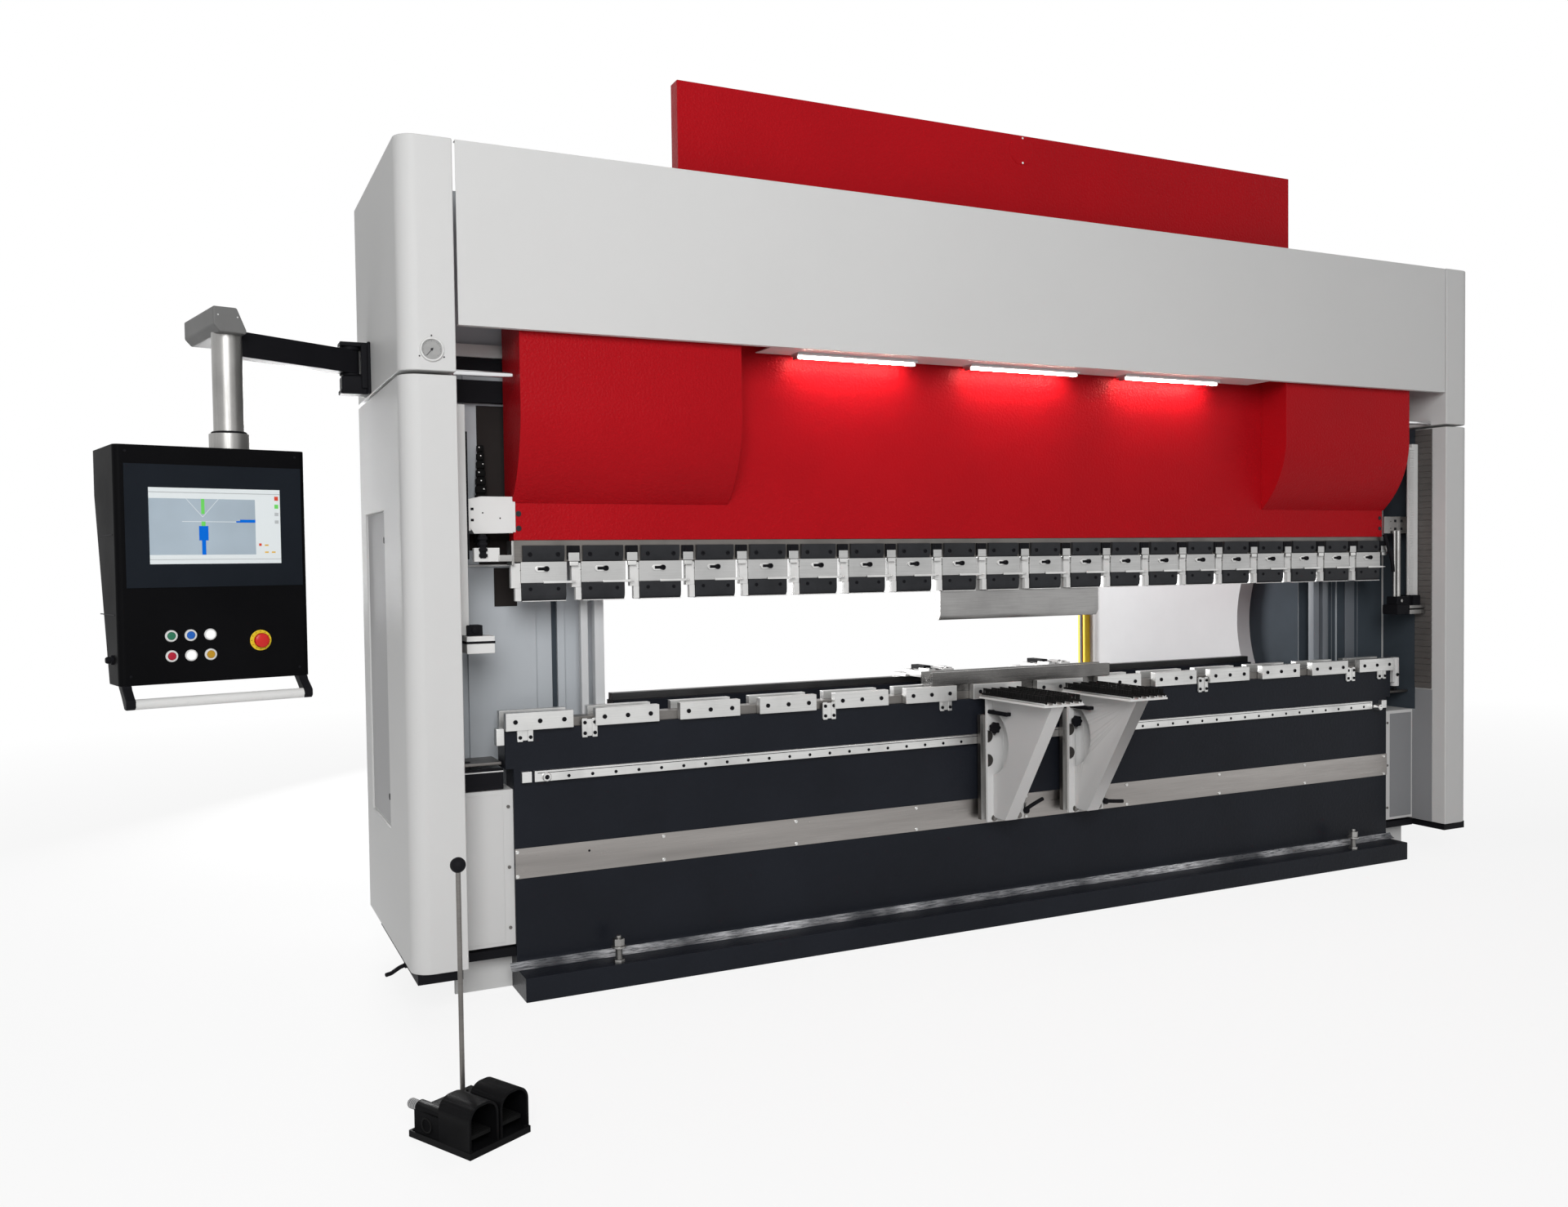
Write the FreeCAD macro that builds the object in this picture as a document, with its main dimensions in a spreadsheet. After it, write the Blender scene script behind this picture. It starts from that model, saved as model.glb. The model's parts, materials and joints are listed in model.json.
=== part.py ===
"""Hydraulic press brake for bending sheet metal, about four metres of bending length.

Millimetres. X runs along the machine, to the right as the operator sees it, Y runs into the
machine and Z up. The origin is on the floor, under the middle of the bending line.
"""
import FreeCAD, Part
import math
import os
import types

import Sketcher

os.makedirs("parts", exist_ok=True)

# Driving sizes, in millimetres, degrees where the name says so
SIZES = {
    # Lower beam, or bed
    "bed_length": 4028,
    "bed_thickness": 100,
    "bed_face": 40,
    "bed_height": 850,
    "bed_foot_reach": 113,
    "bed_foot_height": 78,
    "bed_foot_curve": 32,
    "bed_wing_reach": 26,
    "bed_wing_height": 125,
    "strip_bottom": 369,
    "strip_height": 98,
    "strip_thickness": 3,
    # Tool carriers on the bed
    "die_rail_width": 60,
    "die_rail_height": 30,
    "die_clamp_count": 14,
    "die_clamp_length": 222,
    "die_clamp_height": 57,
    "die_clamp_jaw": 29,
    "die_length": 840,
    "die_offset": 10,
    "die_head_width": 80,
    "die_height": 77,
    "die_tang_height": 28,
    "die_groove_width": 50,
    "die_groove_depth": 34,
    "tool_clearance": 1,
    # Ram
    "ram_length": 3992,
    "ram_thickness": 60,
    "ram_bottom": 1460,
    "ram_shoulder_top": 1900,
    "ram_crown_room": 68,
    "ram_top": 3008,
    "clamp_bar_height": 70,
    "clamp_bar_thickness": 56,
    "clamp_count": 20,
    "clamp_pitch": 200,
    "clamp_width": 152,
    "clamp_face": 36,
    "clamp_block_height": 68,
    "clamp_jaw_height": 60,
    "clamp_jaw_thickness": 27,
    "clamp_jaw_width": 146,
    "clamp_plate_height": 53,
    "clamp_plate_thickness": 10,
    "clamp_plate_width": 138,
    "punch_length": 750,
    "punch_tang_width": 16,
    "punch_tang_height": 56,
    "punch_body_width": 30,
    "punch_body_drop": 90,
    "punch_nose_drop": 110,
    "punch_nose_width": 3,
    # Red covers over the two cylinders, carried by the ram
    "cover_inner_side": 1249,
    "cover_front": 168,
    "cover_bottom": 1580,
    "cover_top": 2480,
    "cover_curve_radius": 400,
    "cover_curve_top": 1880,
    "cover_sheet": 4,
    "cover_side_reach": 62,
    # Cylinders
    "cylinder_spacing": 3230,
    "cylinder_diameter": 230,
    "cylinder_bottom": 2120,
    "cylinder_top": 2590,
    "cylinder_flange_width": 270,
    "rod_diameter": 120,
    "rod_bore_clearance": 0.05,
    "rod_engagement": 230,
    "rod_top_room": 60,
    # Side frames
    "frame_plate": 80,
    "frame_back": 1510,
    "frame_height": 2600,
    "frame_bottom": 30,
    "frame_upper_front": 120,
    "frame_back_slope_start": 1900,
    "frame_back_slope": 170,
    "throat_radius": 600,
    "throat_centre_y": -168,
    "throat_centre_z": 1075,
    "frame_foot_width": 220,
    "frame_foot_depth": 260,
    # Cross members and tank between the side frames
    "rear_beam_bottom": 250,
    "rear_beam_height": 400,
    "rear_beam_thickness": 60,
    "tank_bottom": 2150,
    "tank_front": 300,
    "tank_back": 1300,
    # Columns, cabinets and fascia
    "column_inner_face": 2200,
    "column_width": 165,
    "column_front": 200,
    "column_back": 720,
    "column_bottom": 149,
    "column_seam": 1956,
    "column_top": 2658,
    "column_corner_radius": 60,
    "column_seam_gap": 3,
    "plinth_bottom": 118,
    "plinth_inset": 15,
    "plinth_back": 560,
    "skirt_bottom": 119,
    "skirt_height": 28,
    "lower_panel_back": 40,
    "lower_panel_thickness": 12,
    "lower_panel_floor_gap": 4,
    "service_recess_front": 182,
    "service_recess_back": 592,
    "service_recess_bottom": 529,
    "service_recess_top": 1565,
    "service_recess_depth": 8,
    "cabinet_front": 140,
    "apron_front": 30,
    "apron_bottom": 156,
    "apron_top": 660,
    "jamb_panel_inner": 1888,
    "jamb_panel_outer": 2115,
    "jamb_bar_inner": 1790,
    "jamb_bar_outer": 1815,
    "jamb_thickness": 12,
    "jamb_bottom": 700,
    "jamb_top": 2080,
    "fascia_bottom": 2104,
    "fascia_top": 2655,
    "fascia_sheet": 4,
    "fascia_lip": 25,
    "fascia_shelf_length": 2300,
    "fascia_shelf_back": 52,
    "fascia_seam": 0.5,
    "lamp_length": 490,
    "lamp_width": 60,
    "lamp_height": 22,
    "lamp_spacing": 725,
    "lamp_shift": 47,
    "lamp_front": 125,
    "vent_diameter": 72,
    "vent_depth": 10,
    "vent_x": 2272,
    "vent_z": 2025,
    # Backgauge
    "guide_inner": 1440,
    "guide_front": 150,
    "guide_back": 1380,
    "guide_bottom": 700,
    "guide_height": 60,
    "gauge_beam_room": 19,
    "gauge_beam_front": 326,
    "gauge_beam_depth": 80,
    "gauge_beam_bottom": 800,
    "gauge_beam_height": 85,
    "gauge_rail_height": 26,
    "gauge_rail_width": 40,
    "slide_clearance": 0.3,
    "finger_left_x": -215,
    "finger_right_x": 370,
    "finger_carriage_width": 230,
    "finger_carriage_depth": 130,
    "finger_carriage_height": 22,
    "finger_width": 70,
    "finger_reach": 150,
    "finger_thickness": 18,
    # Light barrier posts at the back
    "post_width": 54,
    "post_depth": 60,
    "post_bottom": 300,
    "post_height": 1400,
    # Front rail and the two sheet supports that slide on it
    "front_rail_left": 1950,
    "front_rail_right": 1898,
    "front_rail_drop": 169,
    "front_rail_height": 35,
    "front_rail_depth": 20,
    "rail_stop_x": 1975,
    "rail_stop_width": 32,
    "support_first_x": -163,
    "support_spacing": 385,
    "shoe_height": 77,
    "shoe_width": 110,
    "shoe_thickness": 22,
    "arm_plate_width": 168,
    "arm_plate_thickness": 12,
    "arm_plate_shift": 23,
    "arm_top": 856,
    "arm_bottom": 383,
    "gusset_width": 54,
    "gusset_shift": 7,
    "gusset_wall": 7,
    "gusset_top_inset": 25,
    "gusset_bottom_reach": 76,
    "gusset_bottom_lift": 17,
    "gusset_window_radius": 124,
    "gusset_window_y": 68,
    "gusset_window_z": 685,
    "table_width": 175,
    "table_front": 482,
    "table_back": 84,
    "table_thickness": 40,
    # Laser guards on the ends of the ram
    "guard_plate_outer": 2153,
    "guard_plate_inner": 1960,
    "guard_plate_bottom": 1486,
    "guard_plate_height": 112,
    "guard_plate_thickness": 8,
    "guard_post_x": 2135,
    "guard_post_width": 28,
    "guard_post_depth": 34,
    "guard_post_bottom": 1195,
    "guard_post_top": 1980,
    "guard_head_width": 62,
    "guard_head_depth": 90,
    "guard_head_height": 90,
    # Control pendant
    "bracket_y": 450,
    "bracket_reach": 60,
    "bracket_plate": 10,
    "bracket_plate_width": 120,
    "bracket_bottom": 1964,
    "bracket_height": 174,
    "bracket_ear": 15,
    "bracket_ear_width": 70,
    "arm_pivot_pin": 24,
    "pivot_clearance": 0.05,
    "pendant_arm_length": 464.1,
    "pendant_arm_degrees": 212.55,
    "pendant_arm_width": 60,
    "pendant_arm_bottom": 2034,
    "pendant_arm_height": 78,
    "hood_bottom": 2048,
    "hood_brim": 2107,
    "hood_shoulder": 2127,
    "hood_top": 2172,
    "hood_left": 118,
    "hood_right": 50,
    "hood_top_left": 48,
    "hood_top_right": 28,
    "hood_front": 25,
    "hood_back": 65,
    "hood_cap_front": 70,
    "mast_diameter": 88,
    "mast_collar_diameter": 116,
    "mast_collar_height": 55,
    "pendant_turn_degrees": 13.2,
    "pendant_width": 535,
    "pendant_top": 1739,
    "pendant_bottom": 1048,
    "pendant_top_depth": 270,
    "pendant_bottom_depth": 130,
    "pendant_mast_offset": 85,
    "pendant_corner_radius": 18,
    "stop_x": 123,
    "stop_drop": 576,
    "stop_diameter": 44,
    "stop_height": 16,
    "stop_stem_diameter": 22,
    "stop_travel": 5,
    "handle_diameter": 30,
    "handle_length": 470,
    "handle_below": 51,
    "handle_standoff": 30,
    "handle_bracket_width": 26,
    "handle_bracket_depth": 60,
    # Double foot switch, turned about its own middle
    "pedal_x": -2369,
    "pedal_y": -1002,
    "pedal_turn_degrees": 28,
    "pedal_width": 186,
    "pedal_depth": 225,
    "pedal_base_height": 16,
    "pedal_lip": 4,
    "pedal_hood_spacing": 94,
    "pedal_hood_width": 88,
    "pedal_hood_depth": 112,
    "pedal_hood_height": 104,
    "pedal_arch": 36,
    "pedal_wall": 6,
    "pedal_box_inset": 6,
    "pedal_box_height": 52,
    "pedal_box_back_inset": 14,
    "conduit_diameter": 34,
    "conduit_inset": 26,
    "gland_diameter": 22,
    "gland_length": 38,
    "treadle_width": 64,
    "treadle_depth": 78,
    "treadle_thickness": 10,
    "treadle_lift": 20,
    "treadle_clearance": 5,
    "treadle_pin": 8,
    "carry_rod_diameter": 12,
    "carry_rod_shift": 6,
    "carry_rod_top": 657,
    "carry_foot_diameter": 24,
    "carry_foot_height": 8,
    "carry_knob_diameter": 37,
}


class Size:
    """A named size, or a sum made of named sizes, with its number and its formula."""

    def __init__(self, number, formula):
        self.number = number
        self.formula = formula

    def joined(self, sign, other, number):
        return Size(number, f"({self.formula} {sign} {other.formula})")

    def __add__(self, other):
        other = as_size(other)
        return self.joined("+", other, self.number + other.number)

    def __sub__(self, other):
        other = as_size(other)
        return self.joined("-", other, self.number - other.number)

    def __mul__(self, other):
        other = as_size(other)
        return self.joined("*", other, self.number * other.number)

    def __truediv__(self, other):
        other = as_size(other)
        return self.joined("/", other, self.number / other.number)

    def __neg__(self):
        return Size(-self.number, f"(0 - {self.formula})")

    def __radd__(self, other):
        return as_size(other) + self

    def __rsub__(self, other):
        return as_size(other) - self

    def __rmul__(self, other):
        return as_size(other) * self


def as_size(value):
    """Take a plain number as a size."""
    return value if isinstance(value, Size) else Size(value, repr(value))


doc = FreeCAD.newDocument("press_brake")
sheet = doc.addObject("Spreadsheet::Sheet", "Sizes")
for row, (size_name, number) in enumerate(SIZES.items(), start=1):
    sheet.set(f"A{row}", size_name)
    sheet.set(f"B{row}", str(number))
    sheet.setAlias(f"B{row}", size_name)
doc.recompute()
d = types.SimpleNamespace(**{key: Size(number, f"Sizes.{key}") for key, number in SIZES.items()})

SUB_PARTS = {}
TURNS = {
    "x": FreeCAD.Rotation(FreeCAD.Vector(0, 1, 0), 90),
    "y": FreeCAD.Rotation(FreeCAD.Vector(1, 0, 0), -90),
    "z": FreeCAD.Rotation(),
}


def bind(thing, prop, size):
    """Tie one property of an object to a size."""
    thing.setExpression(prop, as_size(size).formula)


def block(name, x, y, z):
    """Box between two planes along each axis."""
    box = doc.addObject("Part::Box", name)
    for prop, axis, (low, high) in (("Length", "x", x), ("Width", "y", y), ("Height", "z", z)):
        bind(box, prop, as_size(high) - low)
        bind(box, f"Placement.Base.{axis}", low)
    return box


def rod(name, diameter, along, span, across):
    """Round bar along one axis; across gives its centre on the two other axes, in order."""
    low, high = span
    bar = doc.addObject("Part::Cylinder", name)
    bar.Placement = FreeCAD.Placement(FreeCAD.Vector(), TURNS[along])
    bind(bar, "Radius", as_size(diameter) / 2)
    bind(bar, "Height", as_size(high) - low)
    bind(bar, f"Placement.Base.{along}", low)
    others = [axis for axis in "xyz" if axis != along]
    for axis, centre in zip(others, across):
        bind(bar, f"Placement.Base.{axis}", centre)
    return bar


def prism(name, plane, corners, span):
    """Straight-sided outline on a plane of the frame, drawn out along the plane's axis."""
    body = doc.addObject("PartDesign::Body", name)
    base = next(item for item in body.Origin.OriginFeatures if item.Role == f"{plane}_Plane")
    outline = body.newObject("Sketcher::SketchObject", name + "_outline")
    outline.AttachmentSupport = [(base, "")]
    outline.MapMode = "FlatFace"
    low, high = (as_size(end) for end in span)
    bind(outline, "AttachmentOffset.Base.z", -high if plane == "XZ" else low)
    corners = [(as_size(across), as_size(up)) for across, up in corners]
    points = [FreeCAD.Vector(across.number, up.number, 0) for across, up in corners]
    for index, start in enumerate(points):
        outline.addGeometry(Part.LineSegment(start, points[(index + 1) % len(points)]), False)
    for index in range(len(points)):
        following = (index + 1) % len(points)
        outline.addConstraint(Sketcher.Constraint("Coincident", index, 2, following, 1))
    for index, corner in enumerate(corners):
        for kind, length in zip(("DistanceX", "DistanceY"), corner):
            made = outline.addConstraint(Sketcher.Constraint(kind, -1, 1, index, 1, length.number))
            outline.setExpression(f"Constraints[{made}]", length.formula)
    pad = body.newObject("PartDesign::Pad", name + "_pad")
    pad.Profile = outline
    bind(pad, "Length", high - low)
    return body


def rounded(body, radius, chosen):
    """Round the edges of a body that the test picks out."""
    doc.recompute()
    base = body.Tip
    names = [f"Edge{index}" for index, edge in enumerate(base.Shape.Edges, start=1) if chosen(edge)]
    fillet = body.newObject("PartDesign::Fillet", body.Name + "_round")
    fillet.Base = (base, names)
    bind(fillet, "Radius", radius)
    body.Tip = fillet
    return body


def fused(name, *pieces):
    """One solid from several that touch or cross."""
    whole = doc.addObject("Part::MultiFuse", name)
    whole.Shapes = list(pieces)
    whole.Refine = True
    return whole


def cut(name, base, tool):
    """A solid with the tool's shape taken away."""
    rest = doc.addObject("Part::Cut", name)
    rest.Base = base
    rest.Tool = tool
    return rest


def common(name, first, second):
    """The space that two solids share."""
    shared = doc.addObject("Part::Common", name)
    shared.Base = first
    shared.Tool = second
    return shared


def row_of(name, pieces):
    """Like pieces that stand apart, kept as one sub-part."""
    together = doc.addObject("Part::Compound", name)
    together.Links = list(pieces)
    return together


def sub_part(node, piece):
    """Name a finished piece as a sub-part of the machine."""
    piece.Label = node
    SUB_PARTS[node] = piece
    return piece


def placed(piece, x, y, turn):
    """Put a piece that was drawn about its own origin in its place, turned about Z."""
    rotation = FreeCAD.Rotation(FreeCAD.Vector(0, 0, 1), turn.number)
    piece.Placement = FreeCAD.Placement(FreeCAD.Vector(), rotation)
    bind(piece, "Placement.Base.x", x)
    bind(piece, "Placement.Base.y", y)
    bind(piece, "Placement.Rotation.Angle", turn)
    return piece


def along_edge(edge, axis):
    """Whether a straight edge runs along the axis, given as 0, 1 or 2."""
    if len(edge.Vertexes) != 2:
        return False
    step = edge.Vertexes[1].Point - edge.Vertexes[0].Point
    return abs(step[axis]) > 0.999 * step.Length


def side_span(side, inner, outer):
    """Span in X of something that lies on one side of the middle, side being -1 or 1."""
    return (inner, outer) if side > 0 else (-outer, -inner)


SIDES = (("left", -1), ("right", 1))
half_bed = d.bed_length / 2
half_ram = d.ram_length / 2
bed_back = d.bed_thickness - d.bed_face
frame_inner = d.cylinder_spacing / 2 - d.frame_plate / 2
frame_outer = d.cylinder_spacing / 2 + d.frame_plate / 2
column_outer = d.column_inner_face + d.column_width


def build_bed():
    """Lower beam with its foot, the tool carriers on top and the trim on its face."""
    foot_front = -d.bed_face - d.bed_foot_reach
    plate = prism("bed_plate", "YZ", [
        (foot_front, 0),
        (bed_back, 0),
        (bed_back, d.bed_height),
        (-d.bed_face, d.bed_height),
        (-d.bed_face, d.bed_foot_height),
        (foot_front, d.bed_foot_height),
    ], (-half_bed, half_bed))
    face = -d.bed_face.number
    foot_top = d.bed_foot_height.number
    rounded(plate, d.bed_foot_curve, lambda edge: along_edge(edge, 0)
            and abs(edge.Vertexes[0].Y - face) < 1 and abs(edge.Vertexes[0].Z - foot_top) < 1)
    wings = [
        block(f"bed_wing_{name}", side_span(side, half_bed, half_bed + d.bed_wing_reach),
              (-d.bed_face, bed_back), (d.bed_height - d.bed_wing_height, d.bed_height))
        for name, side in SIDES
    ]
    sub_part("bed_beam", fused("bed_whole", plate, *wings))
    sub_part("bed_trim_strip", block("bed_strip", (-half_bed, half_bed),
             (-d.bed_face - d.strip_thickness, -d.bed_face),
             (d.strip_bottom, d.strip_bottom + d.strip_height)))


def build_die_carriers():
    """Die rail, the two rows of clamp blocks and the die."""
    rail_top = d.bed_height + d.die_rail_height
    half_rail = d.die_rail_width / 2
    sub_part("die_rail", block("die_rail_bar", (-half_bed, half_bed), (-half_rail, half_rail),
             (d.bed_height, rail_top)))
    carrier_half = half_bed + d.bed_wing_reach
    count = SIZES["die_clamp_count"]
    pitch = (carrier_half * 2 - d.die_clamp_length) / (d.die_clamp_count - 1)
    inner = half_rail + d.tool_clearance
    blocks = []
    for row_name, side in (("front", -1), ("rear", 1)):
        span = side_span(side, inner, inner + d.die_clamp_jaw)
        for index in range(count):
            start = index * pitch - carrier_half
            blocks.append(block(f"die_clamp_{row_name}_{index + 1}", (start, start + d.die_clamp_length),
                                span, (d.bed_height, d.bed_height + d.die_clamp_height)))
    sub_part("die_clamps", row_of("die_clamp_rows", blocks))
    head_bottom = rail_top + d.die_tang_height
    top = rail_top + d.die_height
    half_head = d.die_head_width / 2
    half_groove = d.die_groove_width / 2
    die = prism("die_block", "YZ", [
        (-half_rail, rail_top),
        (half_rail, rail_top),
        (half_rail, head_bottom),
        (half_head, head_bottom),
        (half_head, top),
        (half_groove, top),
        (0, top - d.die_groove_depth),
        (-half_groove, top),
        (-half_head, top),
        (-half_head, head_bottom),
        (-half_rail, head_bottom),
    ], (-d.die_length / 2 - d.die_offset, d.die_length / 2 - d.die_offset))
    sub_part("v_die", die)


def build_ram():
    """Upper beam, its clamp bar, the row of punch clamps and the punch."""
    half_thickness = d.ram_thickness / 2
    half_crown = d.cylinder_spacing / 2 - d.cylinder_flange_width / 2 - d.ram_crown_room
    sub_part("ram_plate", prism("ram_outline_plate", "XZ", [
        (-half_ram, d.ram_bottom),
        (half_ram, d.ram_bottom),
        (half_ram, d.ram_shoulder_top),
        (half_crown, d.ram_shoulder_top),
        (half_crown, d.ram_top),
        (-half_crown, d.ram_top),
        (-half_crown, d.ram_shoulder_top),
        (-half_ram, d.ram_shoulder_top),
    ], (-half_thickness, half_thickness)))
    bar_bottom = d.ram_bottom - d.clamp_bar_height
    half_bar = d.clamp_bar_thickness / 2
    sub_part("clamp_bar", block("clamp_bar_block", (-half_ram, half_ram), (-half_bar, half_bar),
             (bar_bottom, d.ram_bottom)))
    jaw_top = bar_bottom - d.clamp_block_height
    jaw_bottom = jaw_top - d.clamp_jaw_height
    punch_gap = d.punch_tang_width / 2
    first = -(d.clamp_count - 1) * d.clamp_pitch / 2
    bodies = []
    plates = []
    for index in range(SIZES["clamp_count"]):
        centre = first + index * d.clamp_pitch
        half_width = d.clamp_width / 2
        bodies.append(prism(f"clamp_body_{index + 1}", "YZ", [
            (-d.clamp_face, bar_bottom),
            (-d.clamp_face, jaw_top),
            (punch_gap, jaw_top),
            (punch_gap, jaw_bottom),
            (d.clamp_face, jaw_bottom),
            (d.clamp_face, bar_bottom),
        ], (centre - half_width, centre + half_width)))
        half_jaw = d.clamp_jaw_width / 2
        plates.append(block(f"clamp_jaw_{index + 1}", (centre - half_jaw, centre + half_jaw),
                            (-punch_gap - d.clamp_jaw_thickness, -punch_gap), (jaw_bottom, jaw_top)))
        half_plate = d.clamp_plate_width / 2
        plates.append(block(f"clamp_plate_{index + 1}", (centre - half_plate, centre + half_plate),
                            (-half_bar - d.clamp_plate_thickness, -half_bar),
                            (bar_bottom, bar_bottom + d.clamp_plate_height)))
    sub_part("punch_clamp_bodies", row_of("clamp_bodies", bodies))
    sub_part("punch_clamp_plates", row_of("clamp_plates", plates))
    half_body = d.punch_body_width / 2
    half_nose = d.punch_nose_width / 2
    shoulder = jaw_bottom
    sub_part("punch", prism("punch_blade", "YZ", [
        (-punch_gap, shoulder + d.punch_tang_height),
        (-punch_gap, shoulder),
        (-half_body, shoulder),
        (-half_body, shoulder - d.punch_body_drop),
        (-half_nose, shoulder - d.punch_nose_drop),
        (half_nose, shoulder - d.punch_nose_drop),
        (half_body, shoulder - d.punch_body_drop),
        (half_body, shoulder),
        (punch_gap, shoulder),
        (punch_gap, shoulder + d.punch_tang_height),
    ], (-d.punch_length / 2, d.punch_length / 2)))


def swelling(name, span, inset, back, top):
    """Form of a cover: upright above, and curving back to the ram below; inset is the sheet left around it."""
    front = -d.cover_front + inset
    low = d.cover_bottom + inset
    upright = block(f"{name}_upright", span, (front, back), (d.cover_curve_top, top))
    below = block(f"{name}_below", span, (front, back), (low, d.cover_curve_top))
    curve = rod(f"{name}_curve", (d.cover_curve_radius - inset) * 2, "x", span,
                (d.cover_curve_radius - d.cover_front, d.cover_curve_top))
    return fused(f"{name}_form", upright, common(f"{name}_belly", below, curve))


def build_cylinder_covers():
    """Red covers that swell forward over the cylinders and curve back to the ram below."""
    ram_face = d.ram_thickness / 2
    outer_side = half_ram + d.cover_sheet
    covers = []
    for name, side in SIDES:
        shell = swelling(f"{name}_cover_shell", side_span(side, d.cover_inner_side, outer_side),
                         0, -ram_face, d.cover_top)
        hollow = swelling(f"{name}_cover_hollow", side_span(side, d.cover_inner_side + d.cover_sheet, half_ram),
                          d.cover_sheet, d.cover_sheet - ram_face, d.cover_top + d.cover_sheet)
        open_shell = cut(f"{name}_cover_open", shell, hollow)
        cheek = block(f"{name}_cover_cheek", side_span(side, half_ram, outer_side),
                      (-ram_face, d.cover_side_reach), (d.cover_bottom, d.cover_top))
        covers.append(fused(f"{name}_cover_whole", open_shell, cheek))
    sub_part("cylinder_covers", row_of("cover_pair", covers))


def build_cylinders():
    """Hydraulic cylinders on the side frames and the rods that carry the ram."""
    bore = d.rod_diameter + d.rod_bore_clearance * 2
    rod_top = d.cylinder_bottom + d.rod_engagement
    cylinders = []
    piston_rods = []
    for name, side in SIDES:
        centre = side * d.cylinder_spacing / 2
        barrel = rod(f"{name}_barrel", d.cylinder_diameter, "z", (d.cylinder_bottom, d.cylinder_top),
                     (centre, 0))
        half_flange = d.cylinder_flange_width / 2
        flange = block(f"{name}_flange", (centre - half_flange, centre + half_flange),
                       (d.cylinder_diameter / 4, d.frame_upper_front), (d.cylinder_bottom, d.cylinder_top))
        hole = rod(f"{name}_rod_bore", bore, "z", (d.cylinder_bottom - 1, rod_top + d.rod_top_room),
                   (centre, 0))
        cylinders.append(cut(f"{name}_cylinder_whole", fused(f"{name}_cylinder_solid", barrel, flange), hole))
        piston_rods.append(rod(f"{name}_rod", d.rod_diameter, "z", (d.ram_shoulder_top, rod_top), (centre, 0)))
    sub_part("hydraulic_cylinders", row_of("cylinder_pair", cylinders))
    sub_part("piston_rods", row_of("rod_pair", piston_rods))


def build_side_frames():
    """Two deep plates with a round throat, standing on foot plates."""
    feet = []
    for name, side in SIDES:
        span = side_span(side, frame_inner, frame_outer)
        plate = prism(f"{name}_frame_plate", "YZ", [
            (bed_back, d.frame_bottom),
            (d.frame_back, d.frame_bottom),
            (d.frame_back, d.frame_back_slope_start),
            (d.frame_back - d.frame_back_slope, d.frame_height),
            (d.frame_upper_front, d.frame_height),
            (d.frame_upper_front, d.throat_centre_z),
            (bed_back, d.throat_centre_z),
        ], span)
        throat = rod(f"{name}_throat", d.throat_radius * 2, "x", span,
                     (d.throat_centre_y, d.throat_centre_z))
        sub_part(f"{name}_side_frame", cut(f"{name}_frame_whole", plate, throat))
        centre = side * d.cylinder_spacing / 2
        half_foot = d.frame_foot_width / 2
        for end, front in (("front", bed_back + d.slide_clearance),
                           ("rear", d.frame_back - d.frame_foot_depth)):
            feet.append(block(f"{name}_{end}_foot", (centre - half_foot, centre + half_foot),
                              (front, front + d.frame_foot_depth), (0, d.frame_bottom)))
    sub_part("frame_foot_plates", row_of("foot_plates", feet))
    sub_part("rear_cross_beam", block("rear_beam", (-frame_inner, frame_inner),
             (d.frame_back - d.rear_beam_thickness * 2, d.frame_back - d.rear_beam_thickness),
             (d.rear_beam_bottom, d.rear_beam_bottom + d.rear_beam_height)))
    sub_part("oil_tank", block("tank", (-frame_inner, frame_inner), (d.tank_front, d.tank_back),
             (d.tank_bottom, d.frame_height)))


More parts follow.
